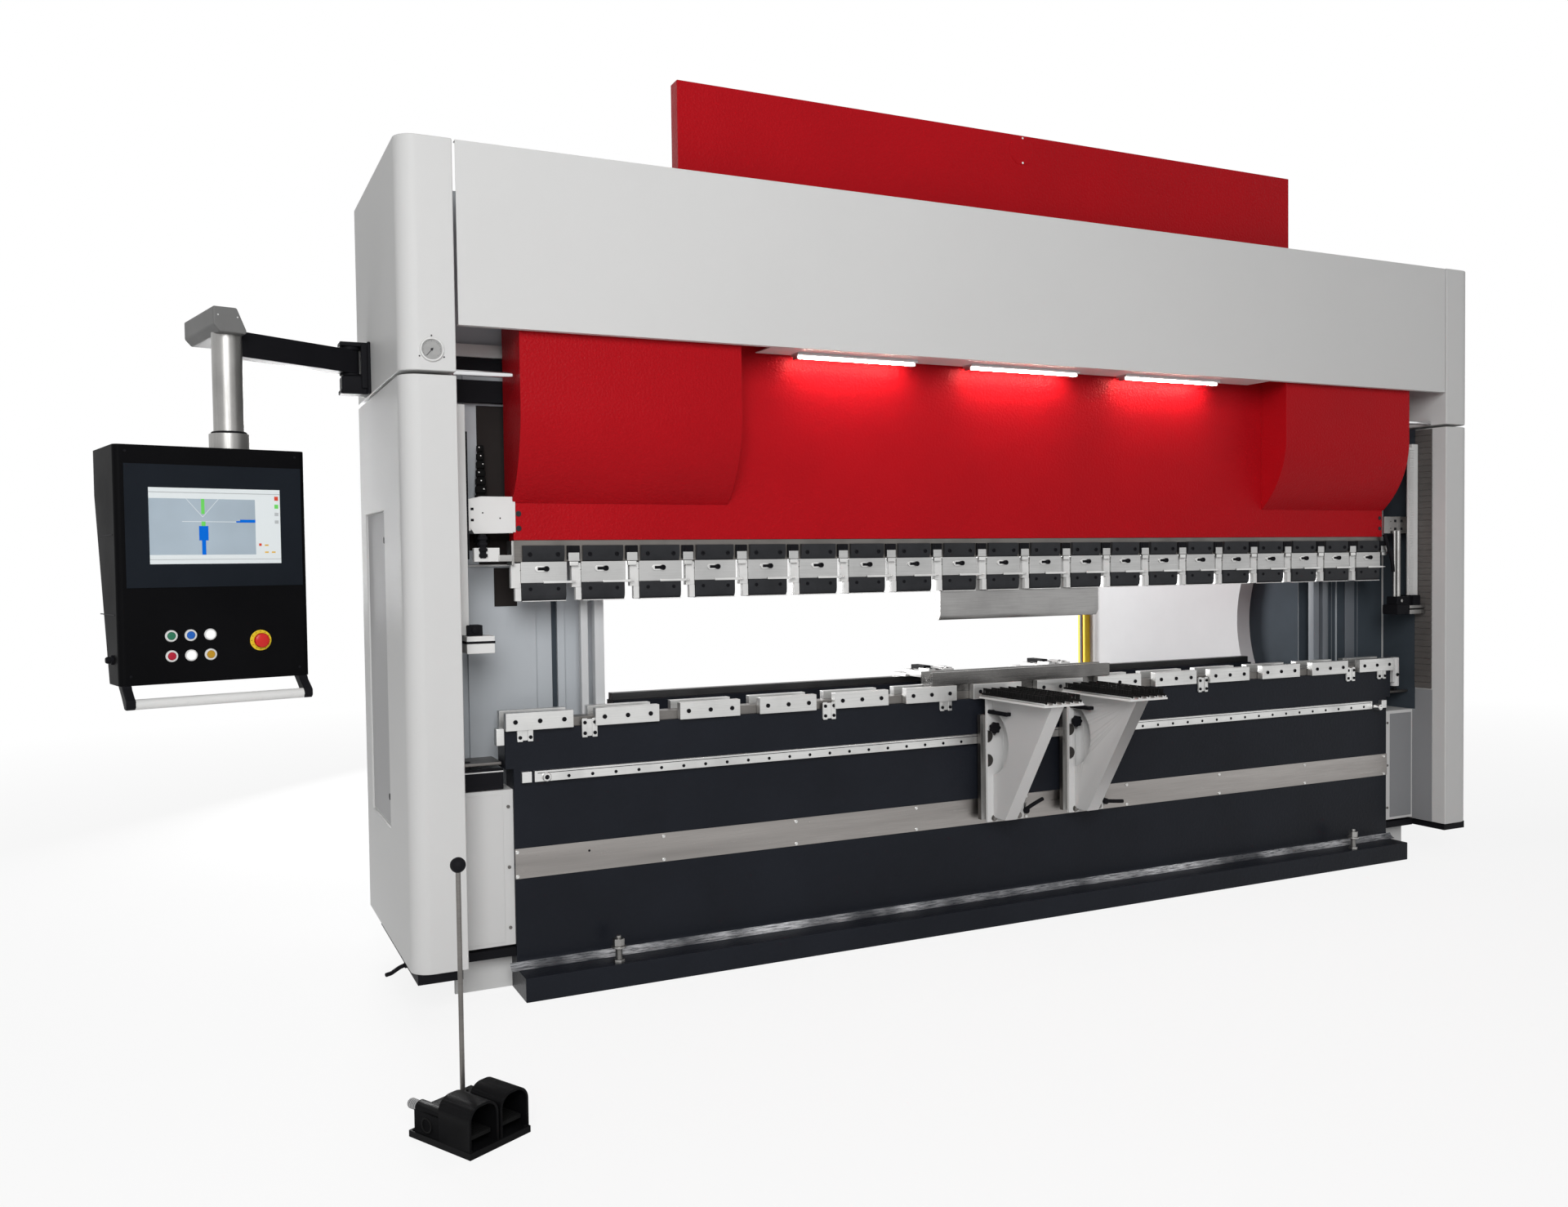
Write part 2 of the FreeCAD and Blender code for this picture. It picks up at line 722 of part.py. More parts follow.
def build_columns():
    """Outer columns, the cabinets behind them, the plinths and the panels beside the bed."""
    covers = {"lower": [], "upper": []}
    plinths = []
    lower_panels = []
    aprons = []
    jambs = []
    for name, side in SIDES:
        outer_x = side * column_outer.number
        front_y = -d.column_front.number

        def is_front_corner(edge):
            first = edge.Vertexes[0]
            return along_edge(edge, 2) and abs(first.X - outer_x) < 1 and abs(first.Y - front_y) < 1

        for part, low, high in (("lower", d.column_bottom, d.column_seam),
                                ("upper", d.column_seam + d.column_seam_gap, d.column_top)):
            cover = prism(f"{name}_column_{part}_shell", "XY", [
                (side * d.column_inner_face, -d.column_front),
                (side * column_outer, -d.column_front),
                (side * column_outer, d.column_back),
                (side * d.column_inner_face, d.column_back),
            ], (low, high))
            rounded(cover, d.column_corner_radius, is_front_corner)
            if part == "lower":
                recess = block(f"{name}_service_recess",
                               side_span(side, column_outer - d.service_recess_depth, column_outer + 1),
                               (d.service_recess_front, d.service_recess_back),
                               (d.service_recess_bottom, d.service_recess_top))
                cover = cut(f"{name}_column_lower_cut", cover, recess)
            covers[part].append(cover)
        plinth = block(f"{name}_plinth_block",
                       side_span(side, d.column_inner_face + d.plinth_inset, column_outer - d.plinth_inset),
                       (-d.column_front + d.plinth_inset, d.plinth_back),
                       (d.plinth_bottom, d.column_bottom))
        skirt = block(f"{name}_skirt_strip", side_span(side, half_bed, d.column_inner_face),
                      (-d.apron_front, d.lower_panel_back), (d.skirt_bottom, d.skirt_bottom + d.skirt_height))
        plinths += [plinth, skirt]
        lower_panels.append(block(f"{name}_lower_sheet", side_span(side, half_bed, d.column_inner_face),
                                  (d.lower_panel_back - d.lower_panel_thickness, d.lower_panel_back),
                                  (d.lower_panel_floor_gap, d.skirt_bottom)))
        sub_part(f"{name}_side_cabinet", block(f"{name}_cabinet",
                 side_span(side, frame_outer, d.column_inner_face),
                 (d.cabinet_front, d.column_back), (d.column_bottom, d.frame_height)))
        aprons.append(block(f"{name}_apron_panel", side_span(side, half_bed, d.column_inner_face),
                            (-d.apron_front, d.cabinet_front), (d.apron_bottom, d.apron_top)))
        front = (d.cabinet_front - d.jamb_thickness, d.cabinet_front)
        panel = block(f"{name}_jamb_panel", side_span(side, d.jamb_panel_inner, d.jamb_panel_outer),
                      front, (d.jamb_bottom, d.jamb_top))
        bar = block(f"{name}_jamb_bar", side_span(side, d.jamb_bar_inner, d.jamb_bar_outer),
                    front, (d.jamb_bottom, d.jamb_top))
        jambs += [panel, bar]
    sub_part("lower_column_covers", row_of("lower_cover_pair", covers["lower"]))
    sub_part("upper_column_covers", row_of("upper_cover_pair", covers["upper"]))
    sub_part("column_plinths", row_of("plinths_and_skirts", plinths))
    sub_part("lower_panels", row_of("lower_sheets", lower_panels))
    sub_part("aprons", row_of("apron_pair", aprons))
    sub_part("jamb_panels", row_of("jambs", jambs))
    sub_part("round_vent", rod("vent_disc", d.vent_diameter, "y",
             (-d.column_front - d.vent_depth, -d.column_front), (-d.vent_x, d.vent_z)))


def build_fascia():
    """Front cover between the columns and the lamps under it."""
    half = d.column_inner_face - d.fascia_seam
    front = -d.column_front
    top = d.fascia_top
    sheet_back = front + d.fascia_sheet
    lip_back = front + d.fascia_lip
    section = prism("fascia_section", "YZ", [
        (front, d.fascia_bottom),
        (lip_back, d.fascia_bottom),
        (lip_back, d.fascia_bottom + d.fascia_sheet),
        (sheet_back, d.fascia_bottom + d.fascia_sheet),
        (sheet_back, top - d.fascia_sheet),
        (lip_back, top - d.fascia_sheet),
        (lip_back, top),
        (front, top),
    ], (-half, half))
    half_shelf = d.fascia_shelf_length / 2
    shelf = block("fascia_shelf", (-half_shelf, half_shelf), (lip_back, -d.fascia_shelf_back),
                  (d.fascia_bottom, d.fascia_bottom + d.fascia_sheet))
    sub_part("front_fascia", fused("fascia_whole", section, shelf))
    lamps = []
    for index in range(3):
        centre = (index - 1) * d.lamp_spacing - d.lamp_shift
        half_lamp = d.lamp_length / 2
        lamps.append(block(f"lamp_{index + 1}", (centre - half_lamp, centre + half_lamp),
                           (-d.lamp_front, -d.lamp_front + d.lamp_width),
                           (d.fascia_bottom - d.lamp_height, d.fascia_bottom)))
    sub_part("work_lamps", row_of("lamps", lamps))


def build_backgauge():
    """Guides on the side frames, the beam that runs on them and the two finger carriages."""
    guide_top = d.guide_bottom + d.guide_height
    guides = [
        block(f"{name}_guide", side_span(side, d.guide_inner, frame_inner),
              (d.guide_front, d.guide_back), (d.guide_bottom, guide_top))
        for name, side in SIDES
    ]
    sub_part("backgauge_guides", row_of("guides", guides))
    beam_back = d.gauge_beam_front + d.gauge_beam_depth
    half_beam = frame_inner - d.gauge_beam_room
    beam_top = d.gauge_beam_bottom + d.gauge_beam_height
    beam = block("gauge_beam_bar", (-half_beam, half_beam), (d.gauge_beam_front, beam_back),
                 (d.gauge_beam_bottom, beam_top))
    shoes = [
        block(f"{name}_gauge_shoe", side_span(side, d.guide_inner, half_beam),
              (d.gauge_beam_front, beam_back), (guide_top + d.slide_clearance, d.gauge_beam_bottom))
        for name, side in SIDES
    ]
    sub_part("backgauge_beam", fused("gauge_beam_whole", beam, *shoes))
    rail_front = d.gauge_beam_front + (d.gauge_beam_depth - d.gauge_rail_width) / 2
    rail_top = beam_top + d.gauge_rail_height
    sub_part("backgauge_rail", block("gauge_rail", (-half_beam, half_beam),
             (rail_front, rail_front + d.gauge_rail_width), (beam_top, rail_top)))
    carriage_bottom = rail_top + d.slide_clearance
    carriage_top = carriage_bottom + d.finger_carriage_height
    for name, centre in (("left", d.finger_left_x), ("right", d.finger_right_x)):
        half_carriage = d.finger_carriage_width / 2
        half_finger = d.finger_width / 2
        middle = d.gauge_beam_front + d.gauge_beam_depth / 2
        carriage = block(f"{name}_carriage", (centre - half_carriage, centre + half_carriage),
                         (middle - d.finger_carriage_depth / 2, middle + d.finger_carriage_depth / 2),
                         (carriage_bottom, carriage_top))
        finger = block(f"{name}_finger", (centre - half_finger, centre + half_finger),
                       (d.gauge_beam_front - d.finger_reach, middle),
                       (carriage_top, carriage_top + d.finger_thickness))
        sub_part(f"{name}_stop_finger", fused(f"{name}_finger_whole", carriage, finger))


def build_light_barrier():
    """Two posts behind the machine."""
    posts = []
    for name, side in SIDES:
        inner = frame_inner - d.post_width + d.frame_plate / 4
        posts.append(block(f"{name}_post", side_span(side, inner, inner + d.post_width),
                           (d.frame_back, d.frame_back + d.post_depth),
                           (d.post_bottom, d.post_bottom + d.post_height)))
    sub_part("light_barrier_posts", row_of("post_pair", posts))


def build_sheet_supports():
    """Front rail and the two support arms that slide along it."""
    rail_front = -d.bed_face - d.front_rail_depth
    rail_bottom = d.bed_height - d.front_rail_drop
    rail_top = rail_bottom + d.front_rail_height
    rail = block("front_rail_bar", (-d.front_rail_left, d.front_rail_right), (rail_front, -d.bed_face),
                 (rail_bottom, rail_top))
    half_stop = d.rail_stop_width / 2
    stops = [
        block(f"{name}_rail_stop", (side * d.rail_stop_x - half_stop, side * d.rail_stop_x + half_stop),
              (rail_front, -d.bed_face), (rail_bottom, rail_top))
        for name, side in SIDES
    ]
    sub_part("front_rail", row_of("rail_and_stops", [rail] + stops))
    shoe_back = rail_front - d.slide_clearance
    shoe_front = shoe_back - d.shoe_thickness
    middle = rail_bottom + d.front_rail_height / 2
    for index, name in enumerate(("left", "right")):
        centre = d.support_first_x + index * d.support_spacing
        half_shoe = d.shoe_width / 2
        shoe = block(f"{name}_shoe", (centre - half_shoe, centre + half_shoe), (shoe_front, shoe_back),
                     (middle - d.shoe_height / 2, middle + d.shoe_height / 2))
        plate_front = shoe_front - d.arm_plate_thickness
        plate_centre = centre + d.arm_plate_shift
        half_plate = d.arm_plate_width / 2
        back_plate = block(f"{name}_arm_back", (plate_centre - half_plate, plate_centre + half_plate),
                           (plate_front, shoe_front), (d.arm_bottom, d.arm_top))
        top_front = d.gusset_top_inset - d.table_front
        bottom_front = plate_front - d.gusset_bottom_reach
        low = d.arm_bottom + d.gusset_bottom_lift
        gusset_left = centre - d.gusset_shift - d.gusset_width / 2
        gusset_right = gusset_left + d.gusset_width
        wedge = prism(f"{name}_gusset_wedge", "YZ", [
            (plate_front, d.arm_top),
            (top_front, d.arm_top),
            (bottom_front, low),
            (plate_front, low),
        ], (gusset_left, gusset_right))
        inside = prism(f"{name}_gusset_inside", "YZ", [
            (plate_front, d.arm_top),
            (top_front + d.gusset_wall, d.arm_top),
            (bottom_front + d.gusset_wall, low),
            (plate_front, low),
        ], (gusset_left + d.gusset_wall, gusset_right - d.gusset_wall))
        window = rod(f"{name}_gusset_window", d.gusset_window_radius * 2, "x",
                     (gusset_left, gusset_left + d.gusset_wall), (-d.gusset_window_y, d.gusset_window_z))
        gusset = cut(f"{name}_gusset_whole", wedge, fused(f"{name}_gusset_hollows", inside, window))
        sub_part(f"{name}_support_arm", fused(f"{name}_arm_whole", shoe, back_plate, gusset))
        half_table = d.table_width / 2
        sub_part(f"{name}_support_table", block(f"{name}_table", (centre - half_table, centre + half_table),
                 (-d.table_front, -d.table_back), (d.arm_top, d.arm_top + d.table_thickness)))


def build_laser_guards():
    """Plates on the ends of the ram, each with a post and a head near the punch tip."""
    ram_face = d.ram_thickness / 2
    carriers = []
    heads = []
    for name, side in SIDES:
        plate_front = -ram_face - d.guard_plate_thickness
        beside_cover = half_ram + d.cover_sheet + d.slide_clearance
        plate = prism(f"{name}_guard_plate", "XZ", [
            (side * d.guard_plate_inner, d.guard_plate_bottom),
            (side * d.guard_plate_outer, d.guard_plate_bottom),
            (side * d.guard_plate_outer, d.guard_plate_bottom + d.guard_plate_height),
            (side * beside_cover, d.guard_plate_bottom + d.guard_plate_height),
            (side * beside_cover, d.cover_bottom - d.slide_clearance),
            (side * d.guard_plate_inner, d.cover_bottom - d.slide_clearance),
        ], (plate_front, -ram_face))
        half_post = d.guard_post_width / 2
        post = block(f"{name}_guard_bar",
                     side_span(side, d.guard_post_x - half_post, d.guard_post_x + half_post),
                     (plate_front - d.guard_post_depth, plate_front),
                     (d.guard_post_bottom, d.guard_post_top))
        carriers.append(fused(f"{name}_guard_carrier", plate, post))
        half_head = d.guard_head_width / 2
        middle = plate_front - d.guard_post_depth / 2
        head = block(f"{name}_guard_box",
                     side_span(side, d.guard_post_x - half_head, d.guard_post_x + half_head),
                     (middle - d.guard_head_depth / 2, middle + d.guard_head_depth / 2),
                     (d.guard_post_bottom - d.guard_head_height, d.guard_post_bottom))
        heads.append(head)
    sub_part("laser_guard_carriers", row_of("carrier_pair", carriers))
    sub_part("laser_heads", row_of("head_pair", heads))


def build_pendant():
    """Swinging arm on the left column with the control box hanging from it."""
    pivot_x = -column_outer - d.bracket_reach
    half_plate = d.bracket_plate_width / 2
    bracket_top = d.bracket_bottom + d.bracket_height
    plate = block("bracket_back", (-column_outer - d.bracket_plate, -column_outer),
                  (d.bracket_y - half_plate, d.bracket_y + half_plate), (d.bracket_bottom, bracket_top))
    half_ear = d.bracket_ear_width / 2
    ears = [
        block(f"bracket_ear_{name}", (pivot_x - half_ear, -column_outer - d.bracket_plate),
              (d.bracket_y - half_ear, d.bracket_y + half_ear), span)
        for name, span in (("low", (d.bracket_bottom, d.bracket_bottom + d.bracket_ear)),
                           ("high", (bracket_top - d.bracket_ear, bracket_top)))
    ]
    pin = rod("bracket_pin", d.arm_pivot_pin, "z", (d.bracket_bottom, bracket_top), (pivot_x, d.bracket_y))
    sub_part("pendant_bracket", fused("bracket_whole", plate, *ears, pin))

    angle = math.radians(SIZES["pendant_arm_degrees"])
    mast_x = pivot_x + d.pendant_arm_length * Size(math.cos(angle), "cos(Sizes.pendant_arm_degrees * 1deg)")
    mast_y = d.bracket_y + d.pendant_arm_length * Size(math.sin(angle), "sin(Sizes.pendant_arm_degrees * 1deg)")

    # The bar is drawn along +X from the pivot and then turned about it
    half_arm = d.pendant_arm_width / 2
    arm_top = d.pendant_arm_bottom + d.pendant_arm_height
    bar = block("pendant_arm_bar", (0, d.pendant_arm_length), (-half_arm, half_arm),
                (d.pendant_arm_bottom, arm_top))
    knuckle = rod("pendant_arm_knuckle", d.pendant_arm_width, "z", (d.pendant_arm_bottom, arm_top), (0, 0))
    turned_bar = placed(fused("pendant_arm_turned", bar, knuckle), pivot_x, d.bracket_y, d.pendant_arm_degrees)

    # The hood stands square to the machine, with a brim in front over the head of the mast
    back = mast_y + d.hood_back
    hood = prism("pendant_hood", "XZ", [
        (mast_x - d.hood_left, d.hood_bottom),
        (mast_x + d.hood_right, d.hood_bottom),
        (mast_x + d.hood_right, d.hood_brim),
        (mast_x + d.hood_top_right, d.hood_top),
        (mast_x - d.hood_top_left, d.hood_top),
        (mast_x - d.hood_left, d.hood_shoulder),
    ], (mast_y - d.hood_front, back))
    brim_left = d.hood_top_left - d.hood_right + d.hood_top_right
    brim = prism("pendant_hood_brim", "XZ", [
        (mast_x - brim_left, d.hood_brim),
        (mast_x + d.hood_right, d.hood_brim),
        (mast_x + d.hood_top_right, d.hood_top),
        (mast_x - d.hood_top_left, d.hood_top),
    ], (mast_y - d.hood_cap_front, back))
    pin_hole = rod("pendant_arm_hole", d.arm_pivot_pin + d.pivot_clearance * 2, "z",
                   (d.pendant_arm_bottom - 1, arm_top + 1), (pivot_x, d.bracket_y))
    mast_hole = rod("pendant_mast_hole", d.mast_diameter + d.slide_clearance * 2, "z",
                    (d.pendant_arm_bottom - 1, d.hood_brim), (mast_x, mast_y))
    solid = fused("pendant_arm_solid", turned_bar, hood, brim)
    sub_part("pendant_arm", cut("pendant_arm_whole", solid, fused("pendant_arm_holes", pin_hole, mast_hole)))

    # The head is drawn about the mast's axis and then turned about it
    mast_top = d.hood_brim - d.slide_clearance
    tube = rod("mast_tube", d.mast_diameter, "z", (d.pendant_top, mast_top), (0, 0))
    collar = rod("mast_collar", d.mast_collar_diameter, "z",
                 (d.pendant_top, d.pendant_top + d.mast_collar_height), (0, 0))
    mast = fused("mast_whole", tube, collar)
    sub_part("pendant_mast", placed(mast, mast_x, mast_y, d.pendant_turn_degrees))
    face = -d.pendant_top_depth / 2
    left = -d.pendant_width / 2 - d.pendant_mast_offset
    right = d.pendant_width / 2 - d.pendant_mast_offset
    box = prism("pendant_shell", "YZ", [
        (face, d.pendant_bottom),
        (face + d.pendant_bottom_depth, d.pendant_bottom),
        (face + d.pendant_top_depth, d.pendant_top - d.pendant_top_depth / 2),
        (face + d.pendant_top_depth, d.pendant_top),
        (face, d.pendant_top),
    ], (left, right))
    front = face.number
    rounded(box, d.pendant_corner_radius, lambda edge: along_edge(edge, 2)
            and abs(edge.Vertexes[0].Y - front) < 1)
    middle = (left + right) / 2
    stop_x = middle + d.stop_x
    stop_z = d.pendant_top - d.stop_drop
    bore_depth = d.stop_height + d.stop_travel + 1
    stop_bore = rod("stop_bore", d.stop_stem_diameter + 1, "y", (face - 1, face + bore_depth), (stop_x, stop_z))
    box = cut("pendant_box_whole", box, stop_bore)
    sub_part("pendant_box", placed(box, mast_x, mast_y, d.pendant_turn_degrees))
    stop_gap = d.stop_travel + 1
    cap_back = face - stop_gap
    cap = rod("stop_cap", d.stop_diameter, "y", (cap_back - d.stop_height, cap_back), (stop_x, stop_z))
    stem = rod("stop_stem", d.stop_stem_diameter, "y", (cap_back, face + d.stop_height), (stop_x, stop_z))
    stop = fused("stop_whole", cap, stem)
    sub_part("emergency_stop", placed(stop, mast_x, mast_y, d.pendant_turn_degrees))
    handle_z = d.pendant_bottom - d.handle_below
    handle_y = face - d.handle_standoff
    half_grip = d.handle_diameter / 2
    grip = rod("handle_bar", d.handle_diameter, "x",
               (middle - d.handle_length / 2, middle + d.handle_length / 2), (handle_y, handle_z))
    pieces = [grip]
    for name, side in SIDES:
        inner = d.handle_length / 2
        low, high = side_span(side, inner, inner + d.handle_bracket_width)
        pieces.append(prism(f"handle_bracket_{name}", "YZ", [
            (handle_y - half_grip, handle_z - half_grip),
            (handle_y + half_grip, handle_z - half_grip),
            (face + d.handle_bracket_depth, d.pendant_bottom),
            (face, d.pendant_bottom),
            (handle_y - half_grip, handle_z + half_grip),
        ], (middle + low, middle + high)))
    sub_part("pendant_handle", placed(fused("handle_whole", *pieces), mast_x, mast_y, d.pendant_turn_degrees))


def arch(name, centre, half, top, radius, span):
    """Block on the base of the foot switch with its two upper edges rounded, drawn out along Y."""
    body = prism(name, "XZ", [
        (centre - half, d.pedal_base_height),
        (centre + half, d.pedal_base_height),
        (centre + half, top),
        (centre - half, top),
    ], span)
    return rounded(body, radius, lambda edge: along_edge(edge, 1)
                   and abs(edge.Vertexes[0].Z - top.number) < 1)


def build_pedal():
    """Double foot switch: two arched hoods over treadles, a low box behind them and a carrying rod."""
    half_width = d.pedal_width / 2
    half_depth = d.pedal_depth / 2
    hood_front = d.pedal_lip - half_depth
    hood_back = hood_front + d.pedal_hood_depth
    hood_top = d.pedal_base_height + d.pedal_hood_height
    half_hood = d.pedal_hood_width / 2
    base = block("pedal_base", (-half_width, half_width), (-half_depth, half_depth), (0, d.pedal_base_height))
    hoods = []
    bays = []
    for name, side in SIDES:
        centre = side * d.pedal_hood_spacing / 2
        hoods.append(arch(f"{name}_pedal_hood", centre, half_hood, hood_top, d.pedal_arch,
                          (hood_front, hood_back)))
        bays.append(arch(f"{name}_pedal_bay", centre, half_hood - d.pedal_wall, hood_top - d.pedal_wall,
                         d.pedal_arch - d.pedal_wall, (hood_front, hood_back - d.pedal_wall)))
    box_top = d.pedal_base_height + d.pedal_box_height
    box_back = half_depth - d.pedal_box_back_inset
    rear_box = block("pedal_rear_box", (d.pedal_box_inset - half_width, half_width - d.pedal_box_inset),
                     (hood_back, box_back), (d.pedal_base_height, box_top))
    conduit_at = (d.conduit_inset - half_width, box_top)
    conduit = rod("pedal_conduit", d.conduit_diameter, "y", (hood_back, box_back), conduit_at)
    gland = rod("pedal_gland", d.gland_diameter, "y", (box_back, box_back + d.gland_length), conduit_at)
    pin_y = hood_back - d.pedal_wall - d.treadle_clearance - d.treadle_pin
    treadle_bottom = d.pedal_base_height + d.treadle_lift
    pin_z = treadle_bottom + d.treadle_thickness / 2
    pin_half = d.pedal_hood_spacing / 2 + half_hood - d.pedal_wall / 2
    pin = rod("pedal_pin", d.treadle_pin, "x", (-pin_half, pin_half), (pin_y, pin_z))
    hooded = cut("pedal_hooded", fused("pedal_hoods", *hoods), row_of("pedal_bays", bays))
    housing = fused("pedal_housing_whole", base, hooded, rear_box, conduit, gland, pin)
    sub_part("pedal_housing", placed(housing, d.pedal_x, d.pedal_y, d.pedal_turn_degrees))
    for name, side in SIDES:
        centre = side * d.pedal_hood_spacing / 2
        half_treadle = d.treadle_width / 2
        span = (centre - half_treadle, centre + half_treadle)
        plate = block(f"{name}_treadle_plate", span, (pin_y - d.treadle_depth, pin_y),
                      (treadle_bottom, treadle_bottom + d.treadle_thickness))
        barrel = rod(f"{name}_treadle_barrel", d.treadle_pin * 2, "x", span, (pin_y, pin_z))
        eye = rod(f"{name}_treadle_eye", d.treadle_pin + d.pivot_clearance * 2, "x",
                  (centre - half_treadle - 1, centre + half_treadle + 1), (pin_y, pin_z))
        treadle = cut(f"{name}_treadle_whole", fused(f"{name}_treadle_solid", plate, barrel), eye)
        sub_part(f"{name}_treadle", placed(treadle, d.pedal_x, d.pedal_y, d.pedal_turn_degrees))
    carry_at = (-d.carry_rod_shift, hood_back + d.carry_foot_diameter / 2 + 1)
    foot = rod("carry_foot", d.carry_foot_diameter, "z", (box_top, box_top + d.carry_foot_height), carry_at)
    stem = rod("carry_stem", d.carry_rod_diameter, "z", (box_top, d.carry_rod_top), carry_at)
    knob = doc.addObject("Part::Sphere", "carry_knob")
    knob.Angle1 = 0
    bind(knob, "Radius", d.carry_knob_diameter / 2)
    for axis, centre in zip("xyz", (*carry_at, d.carry_rod_top)):
        bind(knob, f"Placement.Base.{axis}", centre)
    carry = fused("carry_whole", foot, stem, knob)
    sub_part("pedal_carry_rod", placed(carry, d.pedal_x, d.pedal_y, d.pedal_turn_degrees))


def write_parts():
    """Check every object of the document and each sub-part, then write the sub-parts."""
    doc.recompute()
    for item in doc.Objects:
        if "Invalid" in item.State or "Error" in item.State:
            raise RuntimeError(f"{item.Label} could not be built: {item.State}")
    for node, piece in SUB_PARTS.items():
        if piece.Shape.isNull() or not piece.Shape.isValid():
            raise RuntimeError(f"{node} has no sound shape")
    for node, piece in SUB_PARTS.items():
        piece.Shape.exportStep(f"parts/{node}.step")
        print(f"{node}: {len(piece.Shape.Solids)} solids, {piece.Shape.Volume / 1e9:.4f} m3")


build_bed()
build_die_carriers()
build_ram()
build_cylinder_covers()
build_cylinders()
build_side_frames()
build_columns()
build_fascia()
build_backgauge()
build_light_barrier()
build_sheet_supports()
build_laser_guards()
build_pendant()
build_pedal()
write_parts()
print(len(SUB_PARTS), "sub-parts")
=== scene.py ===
"""Looks of a hydraulic press brake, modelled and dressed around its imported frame.

Lengths are in millimetres and in the machine's own frame: X along the bending line to the
operator's right, Y into the machine and Z up. A form turns them into metres when it is placed.
"""
import functools
import json
import logging
import math
from dataclasses import dataclass
from enum import Enum
from typing import ClassVar, NamedTuple, Sequence

import bmesh
import bpy
from mathutils import Matrix, Vector


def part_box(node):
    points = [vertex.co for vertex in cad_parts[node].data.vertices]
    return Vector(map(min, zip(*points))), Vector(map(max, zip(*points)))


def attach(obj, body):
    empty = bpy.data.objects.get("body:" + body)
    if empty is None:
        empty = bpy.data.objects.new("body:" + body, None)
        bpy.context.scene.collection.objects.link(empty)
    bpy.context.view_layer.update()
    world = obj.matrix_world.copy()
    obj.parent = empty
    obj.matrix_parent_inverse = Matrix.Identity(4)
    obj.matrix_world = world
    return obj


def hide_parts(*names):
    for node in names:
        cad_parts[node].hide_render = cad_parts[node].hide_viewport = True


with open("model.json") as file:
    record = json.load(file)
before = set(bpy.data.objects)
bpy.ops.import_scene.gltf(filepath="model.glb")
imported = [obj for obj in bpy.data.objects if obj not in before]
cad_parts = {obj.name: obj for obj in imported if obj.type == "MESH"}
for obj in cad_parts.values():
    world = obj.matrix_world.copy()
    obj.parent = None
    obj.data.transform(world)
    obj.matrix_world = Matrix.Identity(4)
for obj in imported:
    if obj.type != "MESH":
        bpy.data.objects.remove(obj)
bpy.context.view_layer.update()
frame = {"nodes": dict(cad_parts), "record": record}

LOG = logging.getLogger("press_brake")
MM = 0.001
WELD = 0.00001
FLAT_TURN = math.radians(0.6)  # faces that meet at less are joined
SMOOTH_TURN = math.radians(35.0)  # edges that turn less are shaded round
CORNER_TURN = math.radians(40.0)  # outer edges that turn more are broken
Colour = tuple[float, float, float]
Point = Sequence[float]
Pair = tuple[float, float]
Outline = tuple[Pair, ...]
SIDES = (("left", -1), ("right", 1))
ORIGIN = (0.0, 0.0, 0.0)
WHITE = (1.0, 1.0, 1.0, 1.0)


class Box(NamedTuple):
    """Block between two corners, with the width of its rounded edges."""

    low: Point
    high: Point
    edge: float = 0.0


Boxes = tuple[Box, ...]
# Upright guides behind the right end of the bed; the left ones are their mirror image.
TOOL_GUIDES = (Box((1670, 64, 860), (1704, 98, 1455), 4), Box((1726, 64, 860), (1752, 90, 1455), 4))


class Slot(Enum):
    """The record's material slots."""

    RED_PAINT = "red_paint"
    GREY_PAINT = "grey_paint"
    BED_PAINT = "bed_paint"
    BLACK_PAINT = "black_paint"
    WHITE_PAINT = "white_paint"
    TOOL_STEEL = "tool_steel"
    BRIGHT_STEEL = "bright_steel"
    HARD_CHROME = "hard_chrome"
    GUARD_YELLOW = "guard_yellow"
    LAMP_BODY = "lamp_body"
    PENDANT_BLACK = "pendant_black"
    STOP_RED = "stop_red"
    PEDAL_BLACK = "pedal_black"


class Along(Enum):
    """A direction of the machine, with the turn that takes +Z to it."""

    X = ((1, 0, 0), Matrix.Rotation(math.pi / 2, 4, "Y"))
    Y = ((0, 1, 0), Matrix.Rotation(-math.pi / 2, 4, "X"))
    Z = ((0, 0, 1), Matrix.Identity(4))
    FRONT = ((0, -1, 0), Matrix.Rotation(math.pi / 2, 4, "X"))
    LEFT = ((-1, 0, 0), Matrix.Rotation(-math.pi / 2, 4, "Y"))

    @property
    def vector(self) -> Vector:
        """Unit vector of the direction."""
        return Vector(self.value[0])

    @property
    def turn(self) -> Matrix:
        """Rotation from +Z to the direction."""
        return self.value[1]


class Plane(Enum):
    """Plane that an outline is drawn on; the third axis is the one it is drawn out along."""

    XY = (0, 1, 2)
    XZ = (0, 2, 1)
    YZ = (1, 2, 0)


